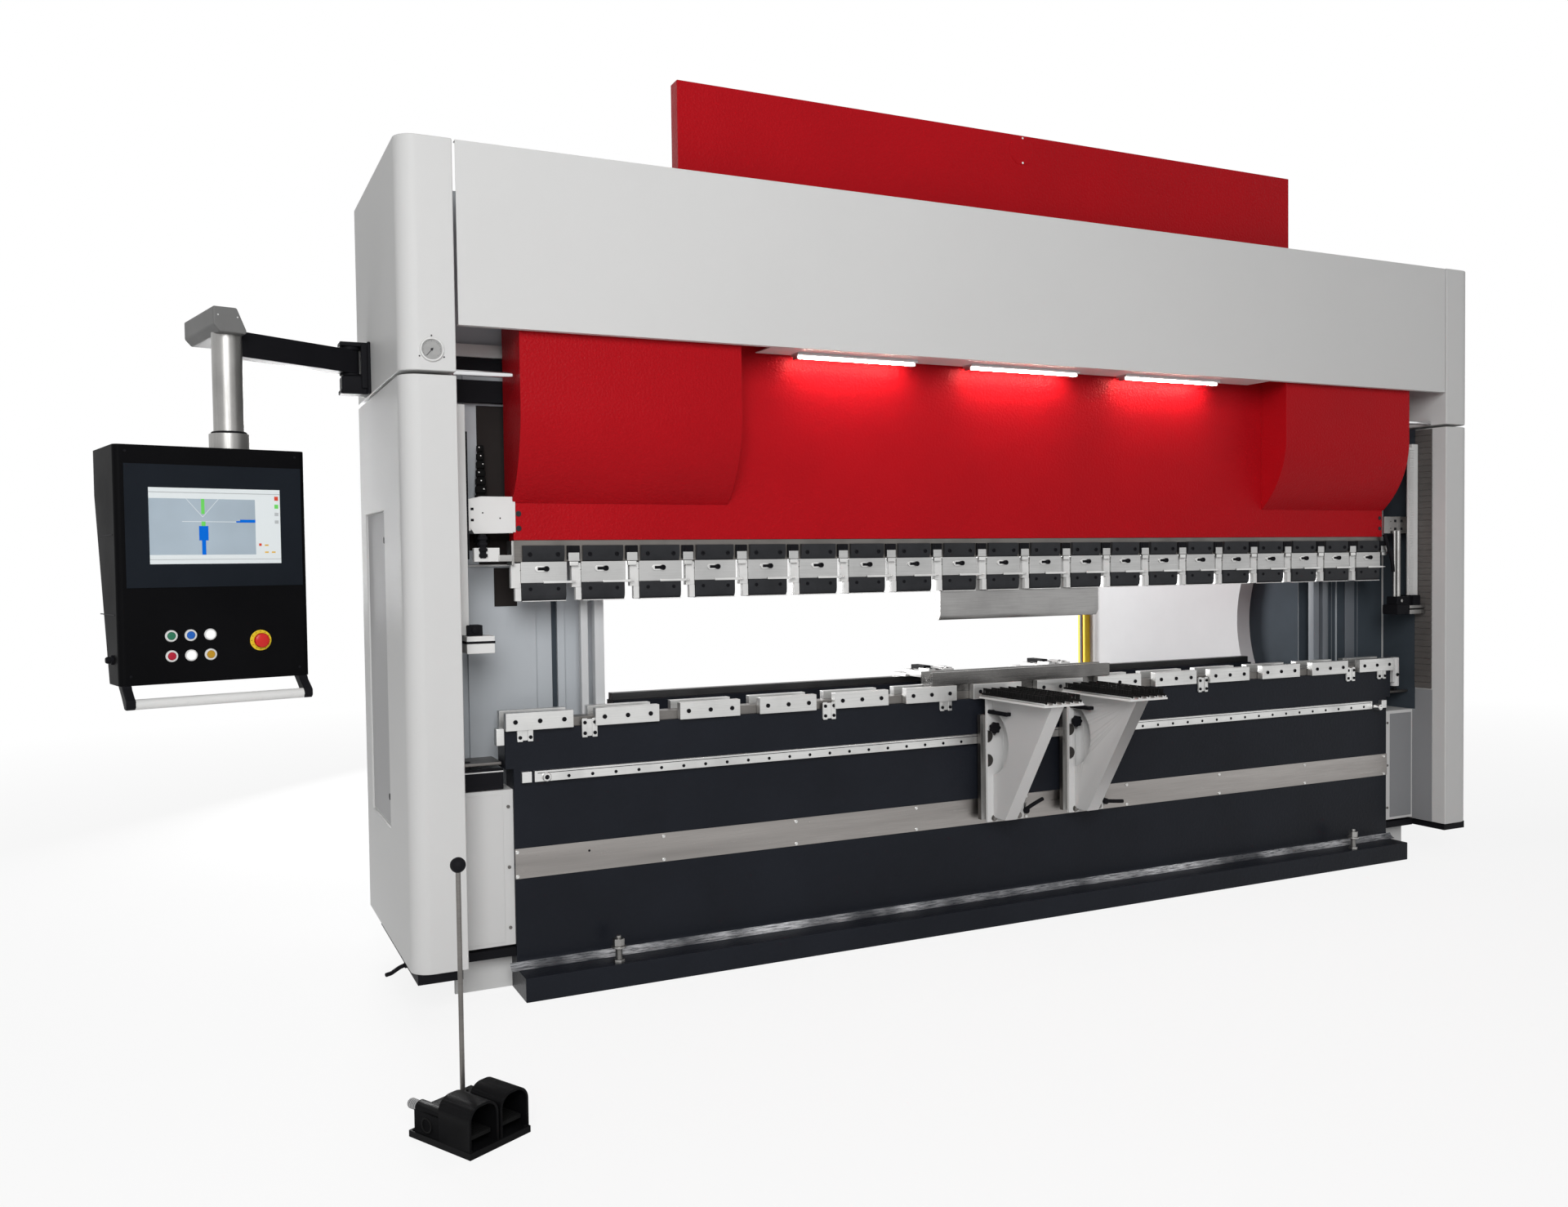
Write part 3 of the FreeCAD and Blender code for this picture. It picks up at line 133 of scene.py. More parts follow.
class Shades:
    """Node tree of a material or of the world."""

    def __init__(self, owner: bpy.types.Material | bpy.types.World) -> None:
        """Start with an empty tree.

        Args:
            owner: What the tree belongs to.
        """
        owner.use_nodes = True
        self.tree = owner.node_tree
        self.tree.nodes.clear()

    @functools.cached_property
    def place(self) -> object:
        """Socket with the place of a point in its object."""
        return self.add("ShaderNodeTexCoord").outputs["Object"]

    def add(self, kind: str, **inputs: object) -> bpy.types.Node:
        """Add a node and set or link its inputs.

        Args:
            kind: Blender's name of the node type.
            **inputs: Value or output socket for each input, spaces written as underscores.

        Returns:
            The new node.
        """
        node = self.tree.nodes.new(kind)
        for key, value in inputs.items():
            numbered = key[0] == "n" and key[1:].isdigit()
            socket = node.inputs[int(key[1:]) if numbered else key.replace("_", " ")]
            if isinstance(value, bpy.types.NodeSocket):
                self.tree.links.new(value, socket)
            else:
                socket.default_value = value
        return node

    def noise(self, scale: float, detail: float = 3.0, stretch: Point = (1, 1, 1),
              rough: float = 0.55) -> object:
        """Cloudy pattern over the surface.

        Args:
            scale: Clouds per metre.
            detail: Octaves of finer clouds.
            stretch: Scale along X, Y and Z, below 1 where the pattern is drawn out.
            rough: Weight of the finer clouds.

        Returns:
            The socket with the pattern, between 0 and 1.
        """
        mapped = self.add("ShaderNodeMapping", Vector=self.place, Scale=tuple(stretch))
        node = self.add("ShaderNodeTexNoise", Vector=mapped.outputs[0], Scale=scale, Detail=detail,
                        Roughness=rough)
        return node.outputs[0]

    def spread(self, value: object, low: float, high: float, start: float = 0.3,
               end: float = 0.7) -> object:
        """Turn a pattern into a range of values.

        Args:
            value: Socket with the pattern.
            low: Result where the pattern is at start.
            high: Result where the pattern is at end.
            start: Lower end of the pattern's range.
            end: Upper end of the pattern's range.

        Returns:
            The socket with the result.
        """
        return self.add("ShaderNodeMapRange", n0=value, n1=start, n2=end, n3=low, n4=high).outputs[0]

    def combine(self, operation: str, first: object, second: object) -> object:
        """Work out one value from two.

        Args:
            operation: Blender's name of the calculation.
            first: Socket with one value.
            second: Socket with the other.

        Returns:
            The socket with the result.
        """
        node = self.add("ShaderNodeMath", n0=first, n1=second)
        node.operation = operation
        return node.outputs[0]

    def blend(self, amount: object, first: Colour, second: Colour) -> object:
        """Mix two colours by a pattern.

        Args:
            amount: Socket that gives 0 for the first colour and 1 for the second.
            first: One colour.
            second: The other colour.

        Returns:
            The socket with the mixed colour.
        """
        node = self.add("ShaderNodeMix")
        node.data_type = "RGBA"
        self.tree.links.new(amount, node.inputs[0])
        for socket, colour in ((node.inputs[6], first), (node.inputs[7], second)):
            if isinstance(colour, bpy.types.NodeSocket):
                self.tree.links.new(colour, socket)
            else:
                socket.default_value = (*colour, 1.0)
        return node.outputs[2]

    def bump(self, height: object, depth: float) -> object:
        """Relief of the surface.

        Args:
            height: Socket with the pattern.
            depth: Depth of the relief in metres.

        Returns:
            The socket with the normal.
        """
        return self.add("ShaderNodeBump", Height=height, Distance=depth).outputs[0]

    def finish(self, **inputs: object) -> None:
        """Close the tree with the surface's shader.

        Args:
            **inputs: Values and sockets of the shader.
        """
        shader = self.add("ShaderNodeBsdfPrincipled", **inputs)
        self.add("ShaderNodeOutputMaterial", Surface=shader.outputs[0])


def arc(across: float, up: float, radius: float, start: float, end: float,
        steps: int) -> list[Pair]:
    """Points on a part of a circle.

    Args:
        across: First place of the centre.
        up: Second place of the centre.
        radius: Radius of the circle.
        start: Angle of the first point, in degrees.
        end: Angle of the last point.
        steps: Number of steps between them.

    Returns:
        The points, one more than the steps.
    """
    angles = [math.radians(start + (end - start) * step / steps) for step in range(steps + 1)]
    return [(across + radius * math.cos(angle), up + radius * math.sin(angle)) for angle in angles]


def bevelled(mesh: bmesh.types.BMesh, edges: Sequence[bmesh.types.BMEdge], width: float,
             segments: int) -> None:
    """Round some edges of a mesh.

    Args:
        mesh: The mesh.
        edges: Its edges that are rounded.
        width: Width of the rounding.
        segments: Steps of the rounding.
    """
    bmesh.ops.bevel(mesh, geom=edges, offset=width, offset_type="OFFSET", segments=segments, profile=0.5,
                    affect="EDGES", clamp_overlap=True, material=-1)


def darker(colour: Colour, share: float) -> Colour:
    """The colour with its brightness multiplied by the share."""
    return tuple(min(1.0, part * share) for part in colour)


@dataclass(frozen=True)
class Finish:
    """Surface of a piece: colour, gloss and how both wander over it."""

    name: str
    slot: Slot
    colour: Colour
    roughness: float = 0.45
    metallic: float = 0.0
    specular: float = 0.5
    mottle: float = 0.06
    mottle_scale: float = 2.5
    grain_scale: float = 300.0
    grain_depth: float = 0.0
    stretch: tuple[float, float, float] = (1.0, 1.0, 1.0)

    @functools.cache
    def material(self) -> bpy.types.Material:
        """The finish as a material, made once."""
        made = bpy.data.materials.new(self.name)
        self.dress(Shades(made))
        return made

    def dress(self, shades: Shades) -> None:
        """Fill the tree with this finish.

        Args:
            shades: Tree to fill.
        """
        clouds = shades.noise(self.mottle_scale, 5.0)
        grain = shades.noise(self.grain_scale, 2.0, self.stretch)
        tint = shades.blend(shades.spread(clouds, 0.0, 1.0), darker(self.colour, 1 - self.mottle),
                            darker(self.colour, 1 + self.mottle))
        gloss = shades.spread(clouds, self.roughness * 0.88, self.roughness * 1.12)
        shades.finish(Base_Color=tint, Roughness=gloss, Metallic=self.metallic,
                      Specular_IOR_Level=self.specular, Normal=shades.bump(grain, self.grain_depth))


@dataclass(frozen=True)
class GroundSteel(Finish):
    """Metal with the fine parallel marks of grinding or brushing and a few dull clouds."""

    metallic: float = 1.0
    roughness: float = 0.34
    grain_scale: float = 260.0
    grain_depth: float = 0.00006
    stretch: tuple[float, float, float] = (0.03, 1.0, 1.0)
    stain: float = 0.25
    stain_scale: float = 6.0
    stain_stretch: tuple[float, float, float] = (1.0, 1.0, 1.0)

    def dress(self, shades: Shades) -> None:
        """Fill the tree with this finish.

        Args:
            shades: Tree to fill.
        """
        clouds = shades.noise(self.stain_scale, 6.0, self.stain_stretch)
        streaks = shades.noise(self.grain_scale, 3.0, self.stretch)
        dull = darker(self.colour, 1 - self.stain)
        tint = shades.blend(shades.spread(clouds, 0.0, 1.0, 0.42, 0.72), self.colour, dull)
        marked = shades.blend(shades.spread(streaks, 0.0, 0.35), tint, darker(self.colour, 0.7))
        gloss = shades.spread(streaks, self.roughness * 0.75, self.roughness * 1.3)
        shades.finish(Base_Color=marked, Roughness=gloss, Metallic=self.metallic,
                      Specular_IOR_Level=self.specular, Normal=shades.bump(streaks, self.grain_depth))


@dataclass(frozen=True)
class WornAndHighlight(Finish):
    """Paint with bright patches along its length, partly wear and partly a painted highlight."""

    rubbed_highlight: tuple[float, float, float] = (0.80, 0.81, 0.84)
    patch_scale: float = 2.2
    speck_scale: float = 210.0

    def dress(self, shades: Shades) -> None:
        """Fill the tree with this finish.

        Args:
            shades: Tree to fill.
        """
        patches = shades.noise(self.patch_scale, 3.0, (1.0, 0.2, 0.2))
        specks = shades.noise(self.speck_scale, 4.0, (0.09, 1.0, 1.0), 0.7)
        both = shades.combine("MULTIPLY", shades.spread(patches, 0.04, 1.0, 0.42, 0.60),
                          shades.spread(specks, 0.1, 1.0, 0.36, 0.62))
        # The bright colour is worn paint and a painted highlight together.
        tint = shades.blend(both, self.colour, self.rubbed_highlight)
        gloss = shades.spread(specks, self.roughness * 0.8, self.roughness * 1.3)
        shades.finish(Base_Color=tint, Roughness=gloss, Specular_IOR_Level=self.specular,
                      Normal=shades.bump(specks, 0.0006))


@dataclass(frozen=True)
class Glow(Finish):
    """Face that gives light of its own, a little uneven."""

    strength: float = 1.0

    def dress(self, shades: Shades) -> None:
        """Fill the tree with this finish.

        Args:
            shades: Tree to fill.
        """
        clouds = shades.noise(self.mottle_scale, 2.0)
        tint = shades.blend(shades.spread(clouds, 0.0, 1.0), darker(self.colour, 1 - self.mottle),
                            self.colour)
        shades.finish(Base_Color=tint, Roughness=self.roughness, Emission_Color=tint,
                      Emission_Strength=self.strength, Specular_IOR_Level=self.specular)


class Form:
    """A shape under way, in millimetres, built from turned, extruded and bevelled pieces."""

    def __init__(self) -> None:
        """Start with nothing."""
        self.mesh = bmesh.new()

    def take(self, part: bmesh.types.BMesh, edge: float = 0.0, segments: int = 2,
             sharp: float = 30.0) -> "Form":
        """Round the sharp edges of a new part and join it to the form.

        Args:
            part: The part, which is used up.
            edge: Width of the rounding.
            segments: Steps of the rounding.
            sharp: Smallest turn in degrees of an edge that is rounded.

        Returns:
            The form itself.
        """
        bmesh.ops.recalc_face_normals(part, faces=part.faces)
        if edge > 0:
            turn = math.radians(sharp)
            bevelled(part, [item for item in part.edges if item.calc_face_angle(0.0) > turn], edge,
                     segments)
        scratch = bpy.data.meshes.new("scratch")
        part.to_mesh(scratch)
        part.free()
        self.mesh.from_mesh(scratch)
        bpy.data.meshes.remove(scratch)
        return self

    def add(self, other: "Form", at: Point = ORIGIN) -> "Form":
        """Join a copy of another form.

        Args:
            other: The form to copy.
            at: Where its origin goes.

        Returns:
            The form itself.
        """
        scratch = bpy.data.meshes.new("scratch")
        other.mesh.to_mesh(scratch)
        scratch.transform(Matrix.Translation(at))
        self.mesh.from_mesh(scratch)
        bpy.data.meshes.remove(scratch)
        return self

    def block(self, low: Point, high: Point, edge: float = 0.0, segments: int = 2) -> "Form":
        """Add a box between two corners.

        Args:
            low: Lowest corner.
            high: Highest corner.
            edge: Width of the rounded edges.
            segments: Steps of the rounding.

        Returns:
            The form itself.
        """
        part = bmesh.new()
        size = Vector(high) - Vector(low)
        middle = (Vector(low) + Vector(high)) / 2
        bmesh.ops.create_cube(part, size=1.0,
                              matrix=Matrix.Translation(middle) @ Matrix.Diagonal((*size, 1.0)))
        return self.take(part, edge, segments)

    def pair(self, low: Point, high: Point, edge: float = 0.0, segments: int = 2) -> "Form":
        """Add a box and its mirror image on the other side of the middle.

        Args:
            low: Lowest corner of the right one.
            high: Highest corner of the right one.
            edge: Width of the rounded edges.
            segments: Steps of the rounding.

        Returns:
            The form itself.
        """
        self.block((-high[0], *low[1:]), (-low[0], *high[1:]), edge, segments)
        return self.block(low, high, edge, segments)

    def boxes(self, boxes: Sequence[Box], at: Point = ORIGIN, both: bool = False) -> "Form":
        """Add several boxes.

        Args:
            boxes: The boxes.
            at: Where their origin goes.
            both: Whether each has a mirror image on the other side of the middle.

        Returns:
            The form itself.
        """
        add = self.pair if both else self.block
        for low, high, edge in boxes:
            add(tuple(Vector(low) + Vector(at)), tuple(Vector(high) + Vector(at)), edge)
        return self

    def drum(self, at: Point, along: Along, length: float, radius: float, far_radius: float = -1.0,
             edge: float = 0.0, steps: int = 24) -> "Form":
        """Add a round bar or a cone.

        Args:
            at: Middle of its near end.
            along: Direction that it points in.
            length: Its length.
            radius: Radius at the near end.
            far_radius: Radius at the far end, the same if it is negative.
            edge: Width of the rounding at both ends.
            steps: Flat sides round it.

        Returns:
            The form itself.
        """
        part = bmesh.new()
        far = radius if far_radius < 0 else far_radius
        shift = Matrix.Translation(Vector(at) + along.vector * length / 2)
        bmesh.ops.create_cone(part, cap_ends=True, segments=steps, radius1=radius, radius2=far,
                              depth=length, matrix=shift @ along.turn)
        return self.take(part, edge, sharp=50.0)

    def turned(self, at: Point, along: Along, profile: Sequence[Pair], steps: int = 32,
               closed: bool = False) -> "Form":
        """Add a shape turned on a lathe.

        Args:
            at: Origin of the profile, on the axis.
            along: Direction of the axis.
            profile: Radius and height of each point, from the foot to the head.
            steps: Flat sides round it.
            closed: Whether the profile is a ring's section, joined end to end.

        Returns:
            The form itself.
        """
        part = bmesh.new()
        points = [part.verts.new((radius, 0.0, height)) for radius, height in profile]
        ends = points[1:] + points[:1] if closed else points[1:]
        edges = [part.edges.new(pair) for pair in zip(points, ends)]
        bmesh.ops.spin(part, geom=points + edges, cent=(0, 0, 0), axis=(0, 0, 1), angle=math.tau,
                       steps=steps, use_merge=True, use_duplicate=False)
        bmesh.ops.remove_doubles(part, verts=part.verts, dist=0.01)
        bmesh.ops.transform(part, matrix=Matrix.Translation(at) @ along.turn, verts=part.verts)
        return self.take(part)

    def stud(self, at: Point, along: Along, radius: float, height: float, top: float | None = None,
             shoulder: float | None = None, steps: int = 20) -> "Form":
        """Add a flat round cap.

        Args:
            at: Middle of its seat.
            along: Direction that it points in.
            radius: Its radius.
            height: Its height.
            top: Radius of its top, the same if it is left out.
            shoulder: Height at which it starts to narrow, the seat if it is left out.
            steps: Flat sides round it.

        Returns:
            The form itself.
        """
        flank = [(radius, 0)] if shoulder is None else [(radius, 0), (radius, shoulder)]
        rim = radius if top is None else top
        return self.turned(at, along, [(0, 0), *flank, (rim, height), (0, height)], steps)

    def prism(self, plane: Plane, corners: Sequence[Pair], span: Pair,
              edge: float = 0.0, segments: int = 2) -> "Form":
        """Add an outline drawn out along the third axis.

        Args:
            plane: Plane of the outline.
            corners: Corners of the outline.
            span: Start and end along the third axis.
            edge: Width of the rounded edges.
            segments: Steps of the rounding.

        Returns:
            The form itself.
        """
        part = bmesh.new()
        across, up, out = plane.value
        points = []
        for corner in corners:
            place = [0.0, 0.0, 0.0]
            place[across], place[up], place[out] = corner[0], corner[1], span[0]
            points.append(part.verts.new(place))
        face = part.faces.new(points)
        raised = bmesh.ops.extrude_face_region(part, geom=[face])["geom"]
        step = [0.0, 0.0, 0.0]
        step[out] = span[1] - span[0]
        bmesh.ops.translate(part, vec=step,
                            verts=[item for item in raised if isinstance(item, bmesh.types.BMVert)])
        return self.take(part, edge, segments)

    def bar(self, points: Sequence[Point], radius: float, order: int = 3) -> "Form":
        """Add a round bar bent smoothly along a few points.

        Args:
            points: Points that steer the bar.
            radius: Its radius.
            order: 2 for straight runs, 3 or more for smooth bends.

        Returns:
            The form itself.
        """
        curve = bpy.data.curves.new("scratch", "CURVE")
        curve.dimensions = "3D"
        curve.bevel_depth = radius
        curve.bevel_resolution = 3
        curve.use_fill_caps = True
        line = curve.splines.new("NURBS")
        line.points.add(len(points) - 1)
        for knot, point in zip(line.points, points):
            knot.co = (*point, 1.0)
        line.order_u = order
        line.use_endpoint_u = True
        line.resolution_u = 6
        holder = bpy.data.objects.new("scratch", curve)
        made = bpy.data.meshes.new_from_object(holder)
        part = bmesh.new()
        part.from_mesh(made)
        bmesh.ops.remove_doubles(part, verts=part.verts, dist=0.001)
        bpy.data.meshes.remove(made)
        bpy.data.objects.remove(holder)
        bpy.data.curves.remove(curve)
        return self.take(part)

    def screw(self, at: Point, along: Along, radius: float, head: float) -> "Form":
        """Add the head of a cap screw with its socket.

        Args:
            at: Middle of the seat of the head.
            along: Direction that the head points in.
            radius: Radius of the head.
            head: Height of the head.

        Returns:
            The form itself.
        """
        socket = radius * 0.5
        floor = head * 0.35
        return self.turned(at, along, [(0, 0), (radius, 0), (radius, head * 0.85), (radius * 0.88, head),
                                       (socket, head), (socket, floor), (0, floor)], 16)

    def hexagon(self, at: Point, along: Along, across: float, height: float) -> "Form":
        """Add a hexagon head on its washer.

        Args:
            at: Middle of the seat of the washer.
            along: Direction that the head points in.
            across: Width over two flats.
            height: Height of the head.

        Returns:
            The form itself.
        """
        washer = height * 0.2
        self.drum(at, along, washer, across * 0.72, edge=washer / 4, steps=24)
        return self.drum(Vector(at) + along.vector * washer, along, height - washer, across / math.sqrt(3),
                         edge=across * 0.04, steps=6)

    def lobed(self, at: Point, radius: float, dent: float, lobes: int, depth: float) -> "Form":
        """Add a star grip that faces the front.

        Args:
            at: Middle of its back.
            radius: Radius over the lobes.
            dent: Depth of the hollows between them.
            lobes: Number of lobes.
            depth: Thickness of the grip.

        Returns:
            The form itself.
        """
        corners = []
        for step in range(lobes * 6):
            angle = math.tau * step / (lobes * 6)
            reach = radius - dent * (1 - math.cos(angle * lobes)) / 2
            corners.append((at[0] + reach * math.cos(angle), at[2] + reach * math.sin(angle)))
        return self.prism(Plane.XZ, corners, (at[1] - depth, at[1]), depth * 0.15)

    def turned_by(self, degrees: float, axis: str = "Z") -> "Form":
        """Turn all of the form about its origin.

        Args:
            degrees: Angle of the turn.
            axis: Axis of the turn.

        Returns:
            The form itself.
        """
        turn = Matrix.Rotation(math.radians(degrees), 4, axis)
        bmesh.ops.transform(self.mesh, matrix=turn, verts=self.mesh.verts)
        return self

    def piece(self, name: str, finish: Finish, body: str = "machine",
              replaces: Sequence[str] = ()) -> bpy.types.Object:
        """Place the form as a finished piece.

        Args:
            name: Name of the piece.
            finish: Its surface.
            body: Body that it rides on.
            replaces: Solids that it stands for.

        Returns:
            The piece.
        """
        bmesh.ops.scale(self.mesh, vec=Vector((MM, MM, MM)), verts=self.mesh.verts)
        data = bpy.data.meshes.new(name)
        self.mesh.to_mesh(data)
        self.mesh.free()
        data.polygons.foreach_set("use_smooth", [True] * len(data.polygons))
        data.set_sharp_from_angle(angle=SMOOTH_TURN)
        made = bpy.data.objects.new(name, data)
        bpy.context.scene.collection.objects.link(made)
        made.modifiers.new("even", "WEIGHTED_NORMAL").keep_sharp = True
        data.materials.append(finish.material())
        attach(made, body)
        if replaces:
            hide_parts(*replaces)
        LOG.info("%s on %s: %d faces", name, body, len(data.polygons))
        return made


def span(node: str) -> tuple[Vector, Vector]:
    """Lowest and highest corner of a solid in millimetres."""
    low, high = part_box(node)
    return low / MM, high / MM


def dressed(node: str, finish: Finish) -> None:
    """Give a solid its finish as it is.

    Args:
        node: Name of the solid.
        finish: Its surface.
    """
    solid = frame["nodes"][node]
    for holder in solid.material_slots:
        holder.material = finish.material()
    LOG.info("%s keeps its solid", node)


def softened(node: str, finish: Finish, edge: float,
             fit: dict[int, Pair] | None = None) -> bpy.types.Object:
    """Show a solid with its outer edges broken, as on the real piece.

    Args:
        node: Name of the solid.
        finish: Its surface.
        edge: Width of the broken edges in millimetres.
        fit: New lowest and highest place for an axis, where the sheet leaves a joint open.

    Returns:
        The piece that stands for the solid.
    """
    low, high = span(node)
    change = Matrix.Identity(4)
    for axis, (start, end) in (fit or {}).items():
        share = (end - start) / (high[axis] - low[axis])
        change[axis][axis] = share
        change[axis][3] = start - share * low[axis]
    form = Form()
    form.mesh.from_mesh(frame["nodes"][node].data)
    mesh = form.mesh
    bmesh.ops.remove_doubles(mesh, verts=mesh.verts, dist=WELD)
    bmesh.ops.dissolve_limit(mesh, angle_limit=FLAT_TURN, use_dissolve_boundaries=False, verts=mesh.verts,
                             edges=mesh.edges, delimit=set())
    bmesh.ops.scale(mesh, vec=Vector((1 / MM, 1 / MM, 1 / MM)), verts=mesh.verts)
    bmesh.ops.transform(mesh, matrix=change, verts=mesh.verts)
    chosen = [item for item in mesh.edges if item.is_convex and item.calc_face_angle(0.0) > CORNER_TURN]
    bevelled(mesh, chosen, edge, 2)
    body = next(body for body, nodes in frame["record"]["behaviour"]["bodies"].items() if node in nodes)
    return form.piece(f"{node}_shown", finish, body, [node])


RAM_RED = Finish("ram red", Slot.RED_PAINT, (0.42, 0.0055, 0.0105), 0.36, specular=0.07, mottle=0.05,
                 grain_scale=125.0, grain_depth=0.0022)
COVER_GREY = Finish("cover grey", Slot.GREY_PAINT, (0.66, 0.66, 0.655), 0.5, specular=0.2, mottle=0.018,
                    mottle_scale=1.2, grain_scale=700.0, grain_depth=0.0002)
SHADE_GREY = Finish("shaded sheet", Slot.GREY_PAINT, (0.27, 0.275, 0.285), 0.5, specular=0.15, mottle=0.04,
                    mottle_scale=1.5, grain_scale=700.0, grain_depth=0.0002)
# Dark blue sheets painted as the shade inside the columns and the jambs.
SHADE_LINING_BLUE = Finish("painted shade lining", Slot.GREY_PAINT, (0.050, 0.062, 0.075), 0.55, specular=0.06,
                     mottle=0.22, mottle_scale=2.2, grain_scale=500.0, grain_depth=0.0002)
# Blue grey painted darker as the shade in the right jamb; the same guides on the left are frame grey.
SHADED_BAR_BLUE = Finish("jamb bars in painted shade", Slot.GREY_PAINT, (0.15, 0.165, 0.185), 0.35, specular=0.3, mottle=0.1,
                  mottle_scale=3.0, grain_scale=500.0, grain_depth=0.0002)
# Dark brown sheets in the left jamb: one behind the cable chain, the others painted shade under the guard
# plate and a painted shadow patch lower down.
BROWN_LINING_AND_SHADE = Finish("brown lining and painted shade", Slot.BLACK_PAINT, (0.026, 0.022, 0.021), 0.55, specular=0.05,
                      mottle=0.2, mottle_scale=4.0, grain_scale=500.0, grain_depth=0.0002)
BELLOWS_GREY = Finish("bellows", Slot.GREY_PAINT, (0.115, 0.107, 0.102), 0.6, specular=0.08, mottle=0.15,
                      mottle_scale=5.0, grain_scale=600.0, grain_depth=0.0003)
RECESS_GREY = Finish("recess grey", Slot.GREY_PAINT, (0.42, 0.42, 0.425), 0.55, specular=0.2, mottle=0.05,
                     mottle_scale=1.5, grain_scale=700.0, grain_depth=0.0002)
PANEL_GREY = Finish("panel grey", Slot.GREY_PAINT, (0.50, 0.53, 0.56), 0.45, specular=0.25, mottle=0.08,
                    mottle_scale=1.8, grain_scale=600.0, grain_depth=0.0002)
FRAME_GREY = Finish("frame grey", Slot.GREY_PAINT, (0.60, 0.61, 0.62), 0.45, specular=0.25, mottle=0.06,
                    mottle_scale=1.8, grain_scale=400.0, grain_depth=0.0003)
BED_BLUE = Finish("bed blue black", Slot.BED_PAINT, (0.0130, 0.0150, 0.0205), 0.32, specular=0.09,
                  mottle=0.14, grain_scale=75.0, grain_depth=0.0010)
SATIN_BLACK = Finish("satin black", Slot.BLACK_PAINT, (0.010, 0.010, 0.012), 0.5, specular=0.04,
                     mottle=0.15, grain_scale=500.0, grain_depth=0.0003)
BLACK_OXIDE = Finish("black oxide", Slot.BLACK_PAINT, (0.024, 0.025, 0.028), 0.42, specular=0.15,
                     mottle=0.2, mottle_scale=14.0, grain_scale=420.0, grain_depth=0.0002)
CLEAN_WHITE = Finish("clean white", Slot.WHITE_PAINT, (0.76, 0.76, 0.75), 0.42, specular=0.25, mottle=0.03,
                     grain_scale=500.0, grain_depth=0.0002)
LIGHT_YELLOW = Finish("post yellow", Slot.GUARD_YELLOW, (0.98, 0.74, 0.05), 0.4, specular=0.25, mottle=0.05,
                      grain_scale=400.0, grain_depth=0.0002)
LAMP_METAL = Finish("lamp housing", Slot.LAMP_BODY, (0.6, 0.61, 0.62), 0.35, metallic=1.0, mottle=0.05,
                    grain_scale=500.0, grain_depth=0.0001)
BOX_BLACK = Finish("pendant black", Slot.PENDANT_BLACK, (0.0040, 0.0040, 0.0046), 0.5, specular=0.025,
                   mottle=0.2, mottle_scale=3.0, grain_scale=120.0, grain_depth=0.0002)
SURROUND_BLUE = Finish("screen surround", Slot.PENDANT_BLACK, (0.0110, 0.0140, 0.0190), 0.4, specular=0.04,
                       mottle=0.12, mottle_scale=4.0, grain_scale=200.0, grain_depth=0.0001)
HOOD_GREY = Finish("hood grey", Slot.GREY_PAINT, (0.17, 0.17, 0.168), 0.45, specular=0.15, mottle=0.06,
                   mottle_scale=8.0, grain_scale=500.0, grain_depth=0.0003)
RUBBER = Finish("black rubber", Slot.PEDAL_BLACK, (0.007, 0.007, 0.007), 0.6, specular=0.05, mottle=0.2,
                mottle_scale=20.0, grain_scale=700.0, grain_depth=0.0004)
BRISTLE = Finish("brush bristle", Slot.PEDAL_BLACK, (0.007, 0.007, 0.007), 0.7, specular=0.08, mottle=0.3,
                 mottle_scale=60.0, grain_scale=900.0, grain_depth=0.0006, stretch=(1.0, 1.0, 0.08))
PEDAL_SHELL = Finish("pedal shell", Slot.PEDAL_BLACK, (0.0045, 0.0045, 0.005), 0.42, specular=0.04,
                     mottle=0.15, mottle_scale=12.0, grain_scale=650.0, grain_depth=0.0004)
STOP_RED = Finish("stop red", Slot.STOP_RED, (0.62, 0.016, 0.014), 0.28, specular=0.3, mottle=0.05,
                  grain_scale=400.0, grain_depth=0.0001)
STOP_YELLOW = Finish("stop yellow", Slot.GUARD_YELLOW, (0.83, 0.60, 0.03), 0.4, specular=0.2, mottle=0.04,
                     grain_scale=400.0, grain_depth=0.0001)
KEY_GREEN = Finish("key green", Slot.PENDANT_BLACK, (0.02, 0.17, 0.09), 0.3, specular=0.3,
                   mottle_scale=40.0)
KEY_BLUE = Finish("key blue", Slot.PENDANT_BLACK, (0.01, 0.12, 0.52), 0.3, specular=0.3, mottle_scale=40.0)
KEY_RED = Finish("key red", Slot.STOP_RED, (0.42, 0.008, 0.03), 0.3, specular=0.3, mottle_scale=40.0)
KEY_AMBER = Finish("key amber", Slot.GUARD_YELLOW, (0.50, 0.27, 0.012), 0.3, specular=0.3,
                   mottle_scale=40.0)
BODY_STEEL = GroundSteel("clamp body steel", Slot.BRIGHT_STEEL, (0.49, 0.49, 0.485), 0.42, stain=0.16)
CLAMP_STEEL = GroundSteel("clamp steel", Slot.BRIGHT_STEEL, (0.66, 0.66, 0.65), 0.42, stain=0.16)
LIP_STEEL = GroundSteel("clamp bar steel", Slot.BRIGHT_STEEL, (0.17, 0.16, 0.15), 0.42, stain=0.3,
                        stain_scale=9.0)
TOOL_STEEL = GroundSteel("tool steel", Slot.TOOL_STEEL, (0.36, 0.355, 0.35), 0.4, stain=0.25)
DIE_STEEL = GroundSteel("die steel", Slot.TOOL_STEEL, (0.19, 0.185, 0.18), 0.24, stain=0.45)
STRIP_STEEL = GroundSteel("trim strip", Slot.BRIGHT_STEEL, (0.37, 0.35, 0.335), 0.34, stain=0.4,
                          stain_scale=5.0, stain_stretch=(0.10, 1.0, 1.6))
